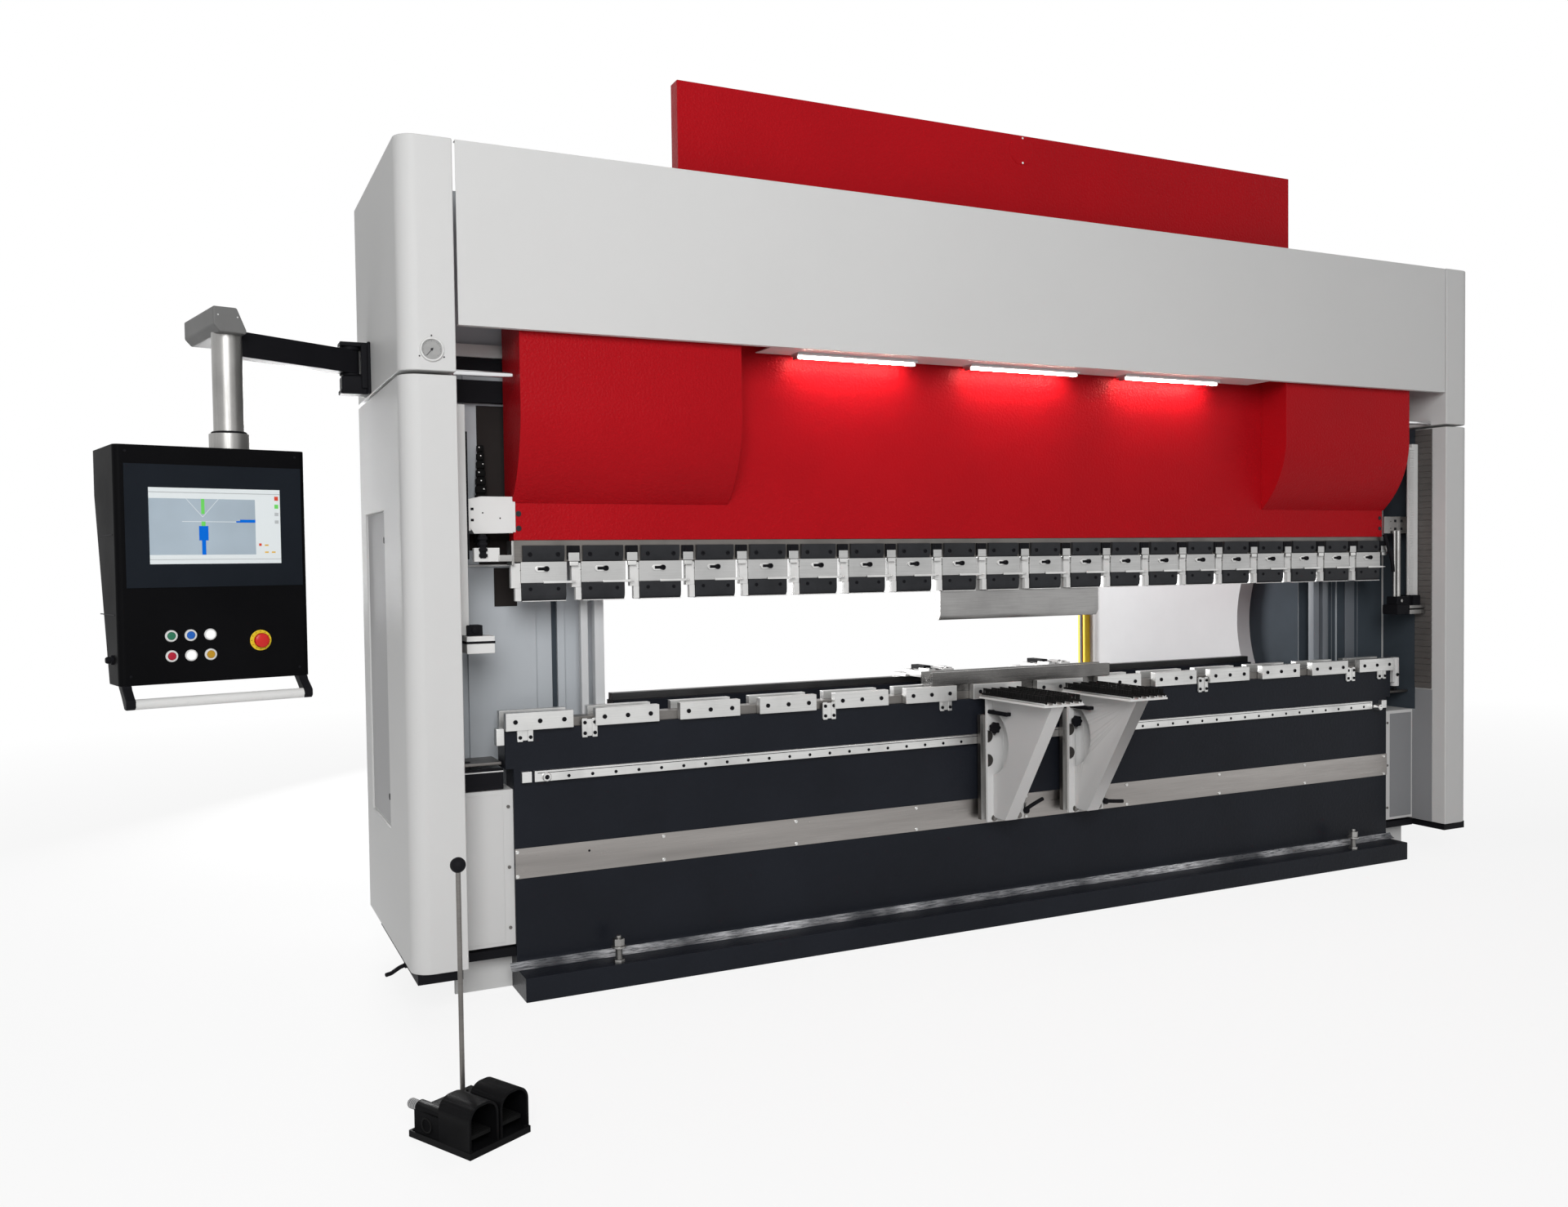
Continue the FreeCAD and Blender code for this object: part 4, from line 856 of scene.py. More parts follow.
RAIL_STEEL = GroundSteel("rail steel", Slot.BRIGHT_STEEL, (0.70, 0.70, 0.69), 0.36, stain=0.25)
MAST_STEEL = GroundSteel("mast steel", Slot.BRIGHT_STEEL, (0.36, 0.355, 0.345), 0.36,
                         stretch=(1.0, 1.0, 0.03))
DARK_STEEL = GroundSteel("dark steel", Slot.TOOL_STEEL, (0.20, 0.19, 0.18), 0.42, stain=0.35)
RAIL_DARK = GroundSteel("gauge rail", Slot.TOOL_STEEL, (0.070, 0.070, 0.072), 0.4, stain=0.3)
# Worn paint and a painted highlight along the bed's fillet.
SCUFFED_HIGHLIGHT = WornAndHighlight("fillet wear and highlight", Slot.BED_PAINT, (0.030, 0.033, 0.040), 0.28, specular=0.3)
CHROME = GroundSteel("hard chrome", Slot.HARD_CHROME, (0.78, 0.78, 0.79), 0.14, grain_depth=0.00001,
                     stain=0.1)
LAMP_GLOW = Glow("lamp glow", Slot.LAMP_BODY, (1.0, 0.86, 0.76), mottle=0.02, strength=52.0)
PAGE_WHITE = Glow("screen page", Slot.PENDANT_BLACK, (0.66, 0.70, 0.71), mottle=0.03, specular=0.1,
                  strength=0.22)
FIELD_BLUE = Glow("screen field", Slot.PENDANT_BLACK, (0.36, 0.43, 0.49), mottle=0.12, mottle_scale=6.0,
                  specular=0.1, strength=0.22)
SIGN_GREEN = Glow("screen green", Slot.PENDANT_BLACK, (0.14, 0.58, 0.11), mottle=0.03, specular=0.1,
                  strength=0.22)
SIGN_BLUE = Glow("screen blue", Slot.PENDANT_BLACK, (0.002, 0.13, 0.60), mottle=0.03, specular=0.05,
                 strength=0.2)
SIGN_RED = Glow("screen red", Slot.PENDANT_BLACK, (0.60, 0.06, 0.03), mottle=0.03, specular=0.1,
                strength=0.2)
SIGN_GREY = Glow("screen grey", Slot.PENDANT_BLACK, (0.42, 0.44, 0.45), mottle=0.03, specular=0.1,
                 strength=0.2)
SIGN_AMBER = Glow("screen amber", Slot.PENDANT_BLACK, (0.65, 0.40, 0.06), mottle=0.03, specular=0.1,
                  strength=0.2)
SIGN_DIAL = Finish("dial face", Slot.WHITE_PAINT, (0.36, 0.36, 0.355), 0.4, specular=0.2, mottle_scale=60.0)
KEY_WHITE = Glow("key white", Slot.WHITE_PAINT, (0.86, 0.86, 0.86), mottle=0.02, strength=0.3)


@dataclass
class SubAssembly:
    """Group of pieces that is built and dressed together; plain and broken say how its solids are shown."""

    plain: ClassVar[dict[str, Finish]] = {}
    broken: ClassVar[dict[str, tuple[Finish, float]]] = {}

    def build(self) -> None:
        """Dress the solids and add what they leave out."""
        for node, finish in self.plain.items():
            dressed(node, finish)
        for node, (finish, edge) in self.broken.items():
            softened(node, finish, edge)
        self.details()

    def details(self) -> None:
        """Add what the solids leave out; a group without such pieces adds none."""


@dataclass
class TurnedGroup(SubAssembly):
    """Group that is drawn about a point of the floor and then turned."""

    middle: Point = ORIGIN
    turn: float = 0.0
    body: str = "machine"

    def placed(self, form: Form, name: str, finish: Finish, body: str = "",
               replaces: Sequence[str] = ()) -> None:
        """Turn a form that is drawn about the middle and place it.

        Args:
            form: The form.
            name: Name of the piece.
            finish: Its surface.
            body: Body that it rides on, the group's own if it is left out.
            replaces: Solids that it stands for.
        """
        form.turned_by(self.turn)
        Form().add(form, self.middle).piece(name, finish, body or self.body, replaces)
        form.mesh.free()


@dataclass
class Housing(SubAssembly):
    """Columns, their plinths, the aprons beside the bed and the front fascia."""

    plain = {"left_side_cabinet": PANEL_GREY, "right_side_cabinet": PANEL_GREY,
             "column_plinths": SATIN_BLACK}
    broken = {"lower_panels": (COVER_GREY, 1.0), "aprons": (COVER_GREY, 2.0),
              "jamb_panels": (PANEL_GREY, 1.0)}
    fascia_gap: float = 8.0
    fascia_edge: float = 1.2
    seam_gap: float = 4.0
    column_edge: float = 4.0
    recess_low: Pair = (190.0, 537.0)
    recess_high: Pair = (584.0, 1557.0)
    recess_depth: float = 8.0
    panel_sheet: float = 2.2
    lock_inset: Pair = (30.0, 90.0)
    lock_radius: float = 11.0
    apron_screw_line: float = 17.0
    apron_screw_heights: tuple[float, ...] = (213.0, 409.0, 605.0)
    apron_sheet_line: float = 34.0
    apron_sheet_margins: tuple[float, float, float] = (12.0, 12.0, 14.0)
    dial_rim: float = 6.0
    dial_ticks: int = 24
    dial_sweep: float = 270.0
    dial_screws: tuple[float, float, int] = (90.0, 330.0, 2)
    lever_seat: Point = (-2349.0, 20.0, 128.0)
    lever_route: tuple[Point, ...] = ((-2346, 20, 128), (-2372, 14, 122), (-2400, 4, 110), (-2417, -6, 110))
    lever_radius: float = 6.5

    def details(self) -> None:
        """Sheets with their open joints, the dial, the service panels and the small fittings."""
        low, high = span("front_fascia")
        softened("front_fascia", COVER_GREY, self.fascia_edge, {0: (low.x + self.fascia_gap,
                                                                    high.x - self.fascia_gap)})
        low, high = span("lower_column_covers")
        softened("lower_column_covers", COVER_GREY, self.column_edge, {2: (low.z, high.z - self.seam_gap)})
        low, high = span("upper_column_covers")
        softened("upper_column_covers", COVER_GREY, self.column_edge, {2: (low.z + self.seam_gap, high.z)})
        self.dial()
        self.service_panels(high.x)
        self.apron_panels()
        lever = Form().bar(self.lever_route, self.lever_radius, order=2)
        lever.drum(self.lever_seat, Along.LEFT, 8, self.lever_radius * 2, edge=2)
        lever.piece("floor_lever", SATIN_BLACK)

    def dial(self) -> None:
        """Round instrument on the left column, with plain marks."""
        low, high = span("round_vent")
        radius = (high.x - low.x) / 2
        inside = radius - self.dial_rim
        seat = Vector(((low.x + high.x) / 2, high.y, (low.z + high.z) / 2))
        rim = Form().turned(seat, Along.FRONT, [(inside, 0), (radius, 0), (radius, 5), (radius - 2, 8),
                                                (inside + 1, 8), (inside, 4)], 56, closed=True)
        rim.piece("dial_rim", CLEAN_WHITE, "machine", ["round_vent"])
        Form().stud(seat, Along.FRONT, inside, 3, steps=48).piece("dial_face", SIGN_DIAL)
        marks = Form()
        for step in range(self.dial_ticks + 1):
            length = 5 if step % 4 == 0 else 3
            tick = Form().block((-0.35, -3.6, inside - 2 - length), (0.35, -2.9, inside - 2))
            tick.turned_by(self.dial_sweep * (step / self.dial_ticks - 0.5), "Y")
            marks.add(tick, seat)
        needle = Form().block((-0.7, -4.6, -6), (0.7, -3.8, inside - 6), 0.2)
        marks.add(needle.turned_by(-140, "Y"), seat)
        marks.stud(seat, Along.FRONT, 3.6, 6.8, top=2.4, shoulder=5.5)
        for x, z in arc(seat.x, seat.z, radius + 5.5, *self.dial_screws):
            marks.screw((x, seat.y, z), Along.FRONT, 2.4, 1.6)
        marks.piece("dial_marks", BLACK_OXIDE)

    def service_panels(self, outer: float) -> None:
        """Panels that lie in the recesses on the outer sides of the columns.

        Args:
            outer: Place of the outer side of the right column.
        """
        floor = outer - self.recess_depth
        face = floor + self.panel_sheet
        panels = Form().pair((floor, *self.recess_low), (face, *self.recess_high), 0.8)
        locks = Form()
        across, up = self.lock_inset
        for side, along in ((-1, Along.LEFT), (1, Along.X)):
            for z in (self.recess_low[1] + up, self.recess_high[1] - up):
                locks.drum((side * face, self.recess_low[0] + across, z), along, 2.5, self.lock_radius,
                           edge=0.8)
        panels.piece("service_panels", RECESS_GREY)
        locks.piece("panel_locks", SATIN_BLACK)

    def apron_panels(self) -> None:
        """Raised sheet on each apron with its row of screws."""
        low, high = span("aprons")
        bed_end = abs(span("bed_trim_strip")[0].x)
        outer, under, above = self.apron_sheet_margins
        screws = Form()
        for (name, side), finish in zip(SIDES, (COVER_GREY, SHADE_GREY)):
            ends = sorted((side * (bed_end + self.apron_sheet_line), side * (high.x - outer)))
            sheet = Form().block((ends[0], low.y - 3, low.z + under), (ends[1], low.y, high.z - above), 1.2)
            sheet.piece(f"{name}_apron_sheet", finish)
            for z in self.apron_screw_heights:
                screws.screw((side * (bed_end + self.apron_screw_line), low.y, z), Along.FRONT, 5.5, 4)
        screws.piece("apron_screws", DARK_STEEL)


@dataclass
class Interior(SubAssembly):
    """Beams, pipes and sheets beside the ram; what both sides have is given for the right."""

    beams: Boxes = (Box((1966, 100, 2017), (2196, 126, 2057), 3), Box((1972, 100, 1912), (2196, 126, 1985),
                                                                      3))
    jamb_trim: Box = Box((1968, 119, 1377), (2112, 127, 1383), 0.6)
    shelf: Box = Box((2044, -8, 738), (2196, 127, 748), 2)
    shelf_stud: Point = (2150, 30, 748)
    left_step: Box = Box((-2196, -30, 664), (-2044, -14, 730), 2)
    left_sheets: Boxes = (Box((-2196, -32, 719), (-2044, -30, 723), 0.5),
                          Box((-2196, 110, 2060), (-1972, 126, 2102), 1))
    tube_starts: tuple[float, ...] = (-2196.0, 2012.0)
    tube_length: float = 184.0
    tube_radius: float = 9.0
    can: Point = (2094, -18, 772)
    can_bracket: Box = Box((2066, -34, 790), (2082, -6, 868), 3)
    can_button: Point = (2088, -38, 826)
    # Sheet of painted shade on the inner wall of each column.
    column_shade_lining: Box = Box((2197.5, -44, 661), (2199.8, 127, 1955), 0.5)
    # Grey sheets painted as the shade low inside the columns, beside the aprons.
    lower_shade_linings: Boxes = (Box((2197.5, -134, 152), (2199.8, -46, 758), 0.5),
                            Box((2197.5, -46, 152), (2199.8, -31, 659), 0.5))
    fold: Box = Box((2195, -132, 762), (2199, -44, 789), 1.4)
    fold_count: int = 43
    fold_pitch: float = 27.6
    # Dark strips and sheets painted as the shade in the jambs.
    jamb_shade_linings: Boxes = (Box((1657, 137, 661), (2198, 139.8, 2000), 0.5),
                           Box((1653.6, 141, 640), (1654.9, 600, 1960), 0.3),
                           Box((1889, 125.6, 752), (2114, 127.8, 2010), 0.5),
                           Box((1788, 125.6, 752), (1817, 127.8, 2010), 0.5),
                           Box((-1832, 136.5, 702), (-1816, 139.8, 2000), 0.5))
    # Dark brown sheet behind the cable chain, painted shade under the guard plate, and a painted shadow
    # patch on the light panel below.
    brown_shade_linings: Boxes = (Box((-2074, 124.5, 1384), (-1968, 127.8, 1905), 1),
                            Box((-2104, 124.0, 1430), (-1966, 127.4, 1484), 1),
                            Box((-2026, 126.2, 1244), (-1950, 127.9, 1372), 0.4))
    jamb_post: Point = (1776, 104, 762)
    # Bars and guides of the right jamb, painted darker as shade than the lit guides on the left.
    jamb_bars: Boxes = (Box((1861, 134, 762), (1865, 138, 2000), 0.6),
                        Box((1934, 118, 762), (1994, 125.8, 2000), 3),
                        Box((2016, 122, 762), (2020, 125.8, 2000), 0.6)) + TOOL_GUIDES
    chain_top: Point = (-2070, 86, 1762)
    chain_links: int = 12
    chain_pitch: float = 27.0
    chain_half_widths: Pair = (11.0, 26.0)
    chain_cable: tuple[Point, ...] = ((-2062, 96, 1450), (-2064, 60, 1420), (-2090, 40, 1405),
                                      (-2112, 20, 1402))

    def details(self) -> None:
        """The same fittings on both sides, and the cable chain on the left."""
        dark = Form().boxes(self.beams, both=True).boxes([self.left_step])
        light = Form().boxes([self.jamb_trim], both=True).boxes(self.left_sheets).boxes([self.can_bracket])
        light.drum(self.can, Along.Z, 132, 19, edge=3, steps=32)
        x, y, z = self.can
        dark.drum((x, y, z - 20), Along.Z, 22, 8, edge=1.5, steps=20)
        dark.stud(self.can_button, Along.FRONT, 7, 6, top=5, shoulder=4)
        tubes = Form()
        for _, side in SIDES:
            dark.stud((side * self.shelf_stud[0], *self.shelf_stud[1:]), Along.Z, 14, 1.5, steps=28)
        for start in self.tube_starts:
            tubes.drum((start, -120, 1973), Along.X, self.tube_length, self.tube_radius, edge=1.5)
        dark.piece("inner_beams", SATIN_BLACK)
        light.piece("inner_sheets", COVER_GREY)
        tubes.piece("guard_tubes", CHROME)
        Form().boxes([self.shelf], both=True).piece("inner_shelves", DARK_STEEL)
        self.linings()
        self.cable_chain()

    def linings(self) -> None:
        """Sheets of painted shade and bellows inside the columns, sheets of painted shade in the jambs,
        dark brown sheets in the left jamb that are partly painted shade, and the bars of the right jamb,
        painted darker as shade.
        """
        # The dark blue sheets are painted shade inside the columns and jambs.
        dark = Form().boxes([self.column_shade_lining], both=True).boxes(self.jamb_shade_linings)
        dark.piece("column_shade_linings", SHADE_LINING_BLUE)
        bellows = Form()
        for index in range(self.fold_count):
            low, high, edge = self.fold
            lift = index * self.fold_pitch
            bellows.pair((*low[:2], low[2] + lift), (*high[:2], high[2] + lift), edge, 1)
        bellows.piece("column_bellows", BELLOWS_GREY)
        # Grey sheets painted as the shade low inside the columns.
        Form().boxes(self.lower_shade_linings, both=True).piece("lower_column_shade_linings", SHADE_GREY)
        # Brown sheets: one behind the chain, the rest painted shade and a painted shadow.
        Form().boxes(self.brown_shade_linings).piece("left_jamb_lining_and_shade", BROWN_LINING_AND_SHADE)
        # The right jamb's bars and guides are painted darker as shade.
        bars = Form().drum(self.jamb_post, Along.Z, 1220, 20, steps=40).boxes(self.jamb_bars)
        bars.piece("right_jamb_bars_in_shade", SHADED_BAR_BLUE)

    def cable_chain(self) -> None:
        """Chain of open links that guides the cables down beside the ram."""
        chain = Form()
        clips = Form()
        x, y, top = self.chain_top
        narrow, wide = self.chain_half_widths
        for index in range(self.chain_links):
            z = top - index * self.chain_pitch
            half = narrow + (wide - narrow) * index / (self.chain_links - 1)
            chain.block((x - half, y, z - 11), (x + half, y + 20, z + 11), 4)
            chain.block((x - half * 0.8, y + 6, z - 18), (x + half * 0.8, y + 16, z - 8), 2)
            clips.drum((x + (index % 3 - 1) * half * 0.45, y, z + 3), Along.FRONT, 1.6, 2.2, edge=0.4,
                       steps=10)
        clips.piece("chain_clips", RAIL_STEEL)
        chain.bar(self.chain_cable, 7).piece("cable_chain", RUBBER)


@dataclass
class Structure(SubAssembly):
    """Side frames, cylinders, tank and cross beam."""

    plain = {"left_side_frame": FRAME_GREY, "right_side_frame": FRAME_GREY,
             "frame_foot_plates": SATIN_BLACK, "piston_rods": CHROME, "hydraulic_cylinders": SATIN_BLACK}
    broken = {"rear_cross_beam": (FRAME_GREY, 4.0), "oil_tank": (FRAME_GREY, 6.0),
              "light_barrier_posts": (LIGHT_YELLOW, 3.0)}
    rail_strip: Pair = (89.0, 71.0)
    window_strip: Pair = (78.0, 71.0)
    sensor_strip: Pair = (76.0, 73.0)
    lid_bolt_places: Sequence[float] = range(-1500, 1501, 250)
    lid_bolt_inset: float = 30.0
    beam_bolt_places: tuple[float, ...] = (-1500.0, -1400.0, 1400.0, 1500.0)
    beam_bolt_inset: float = 70.0

    def details(self) -> None:
        """Strips on the light barrier posts, bolts, and the tool guides behind the bed."""
        low, high = span("light_barrier_posts")
        for name, finish, (near, far), (out, back), inset, edge in (
                ("post_rails", PANEL_GREY, self.rail_strip, (3, -0.5), 4, 1),
                ("post_windows", SATIN_BLACK, self.window_strip, (4, -0.5), 12, 1),
                ("post_sensor_lines", STOP_RED, self.sensor_strip, (5, 4), 30, 0.4)):
            strips = Form().pair((high.x - near, low.y - out, low.z + inset),
                                 (high.x - far, low.y - back, high.z - inset), edge)
            strips.piece(name, finish)
        bolts = Form()
        low, high = span("oil_tank")
        for x in self.lid_bolt_places:
            for y in (low.y + self.lid_bolt_inset, high.y - self.lid_bolt_inset):
                bolts.hexagon((x, y, high.z), Along.Z, 17, 8)
        low, high = span("rear_cross_beam")
        for x in self.beam_bolt_places:
            for z in (low.z + self.beam_bolt_inset, high.z - self.beam_bolt_inset):
                bolts.hexagon((x, high.y, z), Along.Y, 36, 18)
        bolts.piece("frame_bolts", DARK_STEEL)
        guides = Form()
        for low, high, edge in TOOL_GUIDES:
            guides.block((-high[0], *low[1:]), (-low[0], *high[1:]), edge)
        guides.piece("tool_guides", FRAME_GREY)


@dataclass
class Ram(SubAssembly):
    """Red upper beam with its covers, clamp bar, clamps and punch; a clamp is given about its middle."""

    broken = {"ram_plate": (RAM_RED, 2.0), "cylinder_covers": (RAM_RED, 1.2), "clamp_bar": (LIP_STEEL, 1.0),
              "punch_clamp_bodies": (BODY_STEEL, 1.0), "punch": (TOOL_STEEL, 0.6)}
    clamp_count: int = 20
    clamp_pitch: float = 200.0
    crown_cap: Pair = (2.0, 2950.0)
    crown_cap_radius: float = 54.0
    crown_pins: Outline = ((6.0, 2997.0), (6.0, 2903.0))
    end_bolt_place: float = 1979.0
    end_bolt_heights: tuple[float, ...] = (1498.0, 1545.0)
    upper_plate: Outline = ((-28, 1390.5), (-30, 1390.5), (-38, 1409), (-38, 1443), (-28, 1443))
    upper_plate_half: float = 69.0
    lower_plate: Outline = ((-8, 1262), (-20, 1262), (-29, 1266), (-34, 1274), (-36, 1286), (-36, 1321),
                            (-8, 1321))
    lower_plate_half: float = 73.0
    plate_screw_shift: float = 46.0
    lever: Box = Box((-4, -41, 1320), (92, -37, 1328), 1.2)
    link_foot: Box = Box((84, -40, 1376), (114, -28, 1390), 2)
    link: Box = Box((81, -39, 1391), (118, -31, 1419), 1.5)
    side_plates: Boxes = (Box((-106, -26, 1306), (-74, -4, 1386), 1.5),
                          Box((-94, -28, 1264), (-74, -8, 1306), 1.5),
                          Box((-72, -36, 1262), (72, -10, 1264.5), 0.5))
    spacer: Box = Box((78, -36, 1397), (121, -28, 1442), 1.5)
    side_slots: Boxes = (Box((-77.2, -20, 1268), (-75.8, -12, 1292), 0.3),
                         Box((-76.6, -34, 1362), (-75.8, 20, 1364), 0.2))
    slot_height: float = 1367.0
    slot_ends: Pair = (-20.0, 6.0)
    slot_radius: float = 10.0

    def details(self) -> None:
        """Clamp plates with their small parts, and the fittings of the red plate."""
        face = span("ram_plate")[0].y
        across, up = self.crown_cap
        cap = Form().stud((across, face, up), Along.FRONT, self.crown_cap_radius, 2.2,
                          self.crown_cap_radius - 1.5, 1.2, 72)
        cap.piece("crown_cap", RAM_RED, "ram")
        pins = Form()
        for x, z in self.crown_pins:
            pins.turned((x, face - 1, z), Along.FRONT, [(0, 0), (5, 0), (4, 3), (2, 4), (0, 4)], 20)
        pins.piece("crown_cap_pins", RAIL_STEEL, "ram")
        bolts = Form()
        for _, side in SIDES:
            for z in self.end_bolt_heights:
                bolts.screw((side * self.end_bolt_place, face, z), Along.FRONT, 9, 2.5)
        bolts.piece("ram_end_bolts", BLACK_OXIDE, "ram")
        self.clamps()

    def clamps(self) -> None:
        """Every clamp's plates, screws, lever and end fittings."""
        plates = Form()
        steel = Form()
        dark = Form()
        edges = Form()
        links = Form()
        for index in range(self.clamp_count):
            x = (index - (self.clamp_count - 1) / 2) * self.clamp_pitch
            middle = (x, 0, 0)
            plates.prism(Plane.YZ, self.upper_plate, (x - self.upper_plate_half, x + self.upper_plate_half),
                         1)
            plates.prism(Plane.YZ, self.lower_plate, (x - self.lower_plate_half, x + self.lower_plate_half),
                         1.5)
            for shift in (-self.plate_screw_shift, self.plate_screw_shift):
                dark.screw((x + shift, -37.5, 1414), Along.FRONT, 7, 4)
                dark.screw((x + shift, -36, 1302), Along.FRONT, 6, 2.2)
            self.slot_washer(steel, dark, x)
            steel.boxes([self.lever, self.link_foot], middle)
            steel.drum((x + 92, -39, 1324), Along.X, 12, 2.6, edge=0.5, steps=12)
            links.boxes([self.link], middle)
            edges.boxes(self.side_plates, middle)
            dark.boxes([self.spacer, *self.side_slots], middle)
            dark.drum((x + 90, -36, 1420), Along.Z, 14, 3.4, edge=1, steps=14)
        plates.piece("clamp_plates_shown", BLACK_OXIDE, "ram", ["punch_clamp_plates"])
        steel.piece("clamp_fittings", RAIL_STEEL, "ram")
        edges.piece("clamp_side_plates", CLEAN_WHITE, "ram")
        links.piece("clamp_links", BODY_STEEL, "ram")
        dark.piece("clamp_screws", SATIN_BLACK, "ram")

    def slot_washer(self, steel: Form, dark: Form, x: float) -> None:
        """Slotted washer with its screw in the middle of a clamp.

        Args:
            steel: Form that takes the washer.
            dark: Form that takes the screw.
            x: Middle of the clamp.
        """
        z = self.slot_height
        start, end = (x + shift for shift in self.slot_ends)
        corners = [*arc(end, z, self.slot_radius, -90, 90, 8), *arc(start, z, self.slot_radius, 90, 270, 8)]
        steel.prism(Plane.XZ, corners, (-39.5, -35.5), 0.8)
        dark.block((start - 2, -41, z - 5), (end - 2, -39, z + 5), 1.5)
        dark.screw((end, -39.5, z), Along.FRONT, 9, 9)


@dataclass
class LaserGuards(SubAssembly):
    """Plates, posts and heads of the guard that rides on the ends of the ram."""

    left_plate: Outline = ((-2137, 1591), (-2099, 1599), (-1999, 1599), (-1999, 1483), (-2123, 1481),
                           (-2139, 1508))
    left_plate_span: Pair = (-38.0, -31.0)
    left_post: Box = Box((-2190, -64, 1162), (-2150, -34, 1884), 2)
    left_strap: Box = Box((-2150, -50, 1490), (-2136, -36, 1590), 1)
    left_flange: Box = Box((-1999, -36, 1486), (-1990, 24, 1596), 1)
    left_slot: Box = Box((-2150.5, -62, 1400), (-2144, -48, 1800), 1)
    left_head: Box = Box((-2166, -100, 1105), (-2078, -12, 1160), 3)
    left_dark_parts: Boxes = (Box((-2167, -101, 1136), (-2077, -11, 1144), 1),
                              Box((-2160, -84, 1160), (-2112, -26, 1194), 3),
                              Box((-2111, -64, 1403), (-2091, -40, 1478), 3))
    left_foot: Box = Box((-2129, -58, 1392), (-2048, -34, 1436), 2)
    left_knob: Point = (-2136, -84, 1178)
    left_ribs: tuple[float, ...] = (1412.0, 1430.0, 1448.0, 1466.0)
    left_cable: tuple[Point, ...] = ((-2092, -50, 1440), (-2080, -54, 1428), (-2060, -52, 1416),
                                     (-2040, -48, 1410))
    left_steel_parts: Boxes = (Box((-2052, -60, 1392), (-2007, -38, 1413), 2),
                               Box((-2007, -44, 1380), (-1998, 20, 1458), 2))
    right_plate: Box = Box((1997, -40, 1475), (2150, -32, 1552), 1.5)
    right_post: Box = Box((2150, -64, 1162), (2190, -34, 1883), 2)
    reed: Box = Box((2122, -76, 1192), (2150, -70, 1197.4), 0.8)
    reed_count: int = 88
    reed_pitch: float = 7.6
    reed_back: Box = Box((2122, -70, 1188), (2150, -60, 1866), 1)
    right_rods: tuple[tuple[float, float, int], ...] = ((2052.0, 7.0, 20), (2076.0, 11.0, 24))
    right_dark_parts: Boxes = (Box((2025, -86, 1146), (2118, -30, 1187), 3),
                               Box((2118, -98, 1128), (2166, -14, 1192), 3),
                               Box((2010, -100, 1106), (2090, -20, 1150), 4))
    right_head_plates: Boxes = (Box((2090, -102, 1106), (2190, -22, 1126), 2),
                                Box((2090, -102, 1132), (2190, -22, 1146), 2))
    right_knob: Point = (2052, -88, 1168)
    right_cable: tuple[Point, ...] = ((1990, -46, 1470), (2000, -50, 1440), (2022, -54, 1380),
                                      (2040, -52, 1330), (2044, -50, 1300))
    square_holes: tuple[tuple[float, float, float], ...] = ((-2128, 1559, 4), (-2128, 1524, 4),
                                                            (2070, 1532, 6), (2111, 1532, 6),
                                                            (2070, 1496, 6), (2111, 1496, 6))
    round_holes: Outline = ((-2095, 1547), (-2040, 1530), (2040, 1530), (2040, 1498))

    def details(self) -> None:
        """Plates with their holes, and the heads with their fittings."""
        plates = Form().prism(Plane.XZ, self.left_plate, self.left_plate_span, 1)
        plates.boxes([self.left_post, self.left_strap, self.left_flange])
        plates.piece("guard_plates", CLEAN_WHITE, "ram", ["laser_guard_carriers"])
        dark = Form().boxes([self.left_slot, *self.left_dark_parts])
        white = Form().boxes([self.left_foot, self.left_head])
        steel = Form().boxes([self.right_plate, *self.left_steel_parts])
        self.holes(dark)
        dark.stud(self.left_knob, Along.FRONT, 11, 6, top=8, shoulder=4, steps=24)
        for z in self.left_ribs:
            dark.block((-2114, -68, z - 5), (-2088, -38, z + 5), 2)
        dark.bar(self.left_cable, 4.5)
        self.right_side(dark, white, steel)
        dark.piece("guard_head_bodies", SATIN_BLACK, "ram", ["laser_heads"])
        white.piece("guard_head_covers", CLEAN_WHITE, "ram")
        steel.piece("guard_steel_parts", MAST_STEEL, "ram")

    def holes(self, dark: Form) -> None:
        """Square and round holes of both plates, as dark insets.

        Args:
            dark: Form that takes them.
        """
        faces = {-1: self.left_plate_span[0], 1: self.right_plate.low[1]}
        for x, z, half in self.square_holes:
            face = faces[math.copysign(1, x)]
            dark.block((x - half * 1.2, face - 0.8, z - half), (x + half * 1.2, face + 0.5, z + half), 0.4)
        for x, z in self.round_holes:
            dark.stud((x, faces[math.copysign(1, x)], z), Along.FRONT, 2.5, 0.8, steps=14)

    def right_side(self, dark: Form, white: Form, steel: Form) -> None:
        """Post with its reeded strip, rods and head on the right.

        Args:
            dark: Form that takes the black parts.
            white: Form that takes the white parts.
            steel: Form that takes the steel parts.
        """
        white.boxes([self.right_post, self.reed_back])
        low, high, edge = self.reed
        for index in range(self.reed_count):
            lift = index * self.reed_pitch
            white.block((*low[:2], low[2] + lift), (*high[:2], high[2] + lift), edge, 1)
        for x, radius, steps in self.right_rods:
            steel.drum((x, -50, 1187), Along.Z, 300, radius, steps=steps)
        dark.boxes(self.right_dark_parts)
        steel.boxes(self.right_head_plates)
        steel.stud(self.right_knob, Along.FRONT, 7, 4, top=5, shoulder=3)
        dark.bar(self.right_cable, 8)


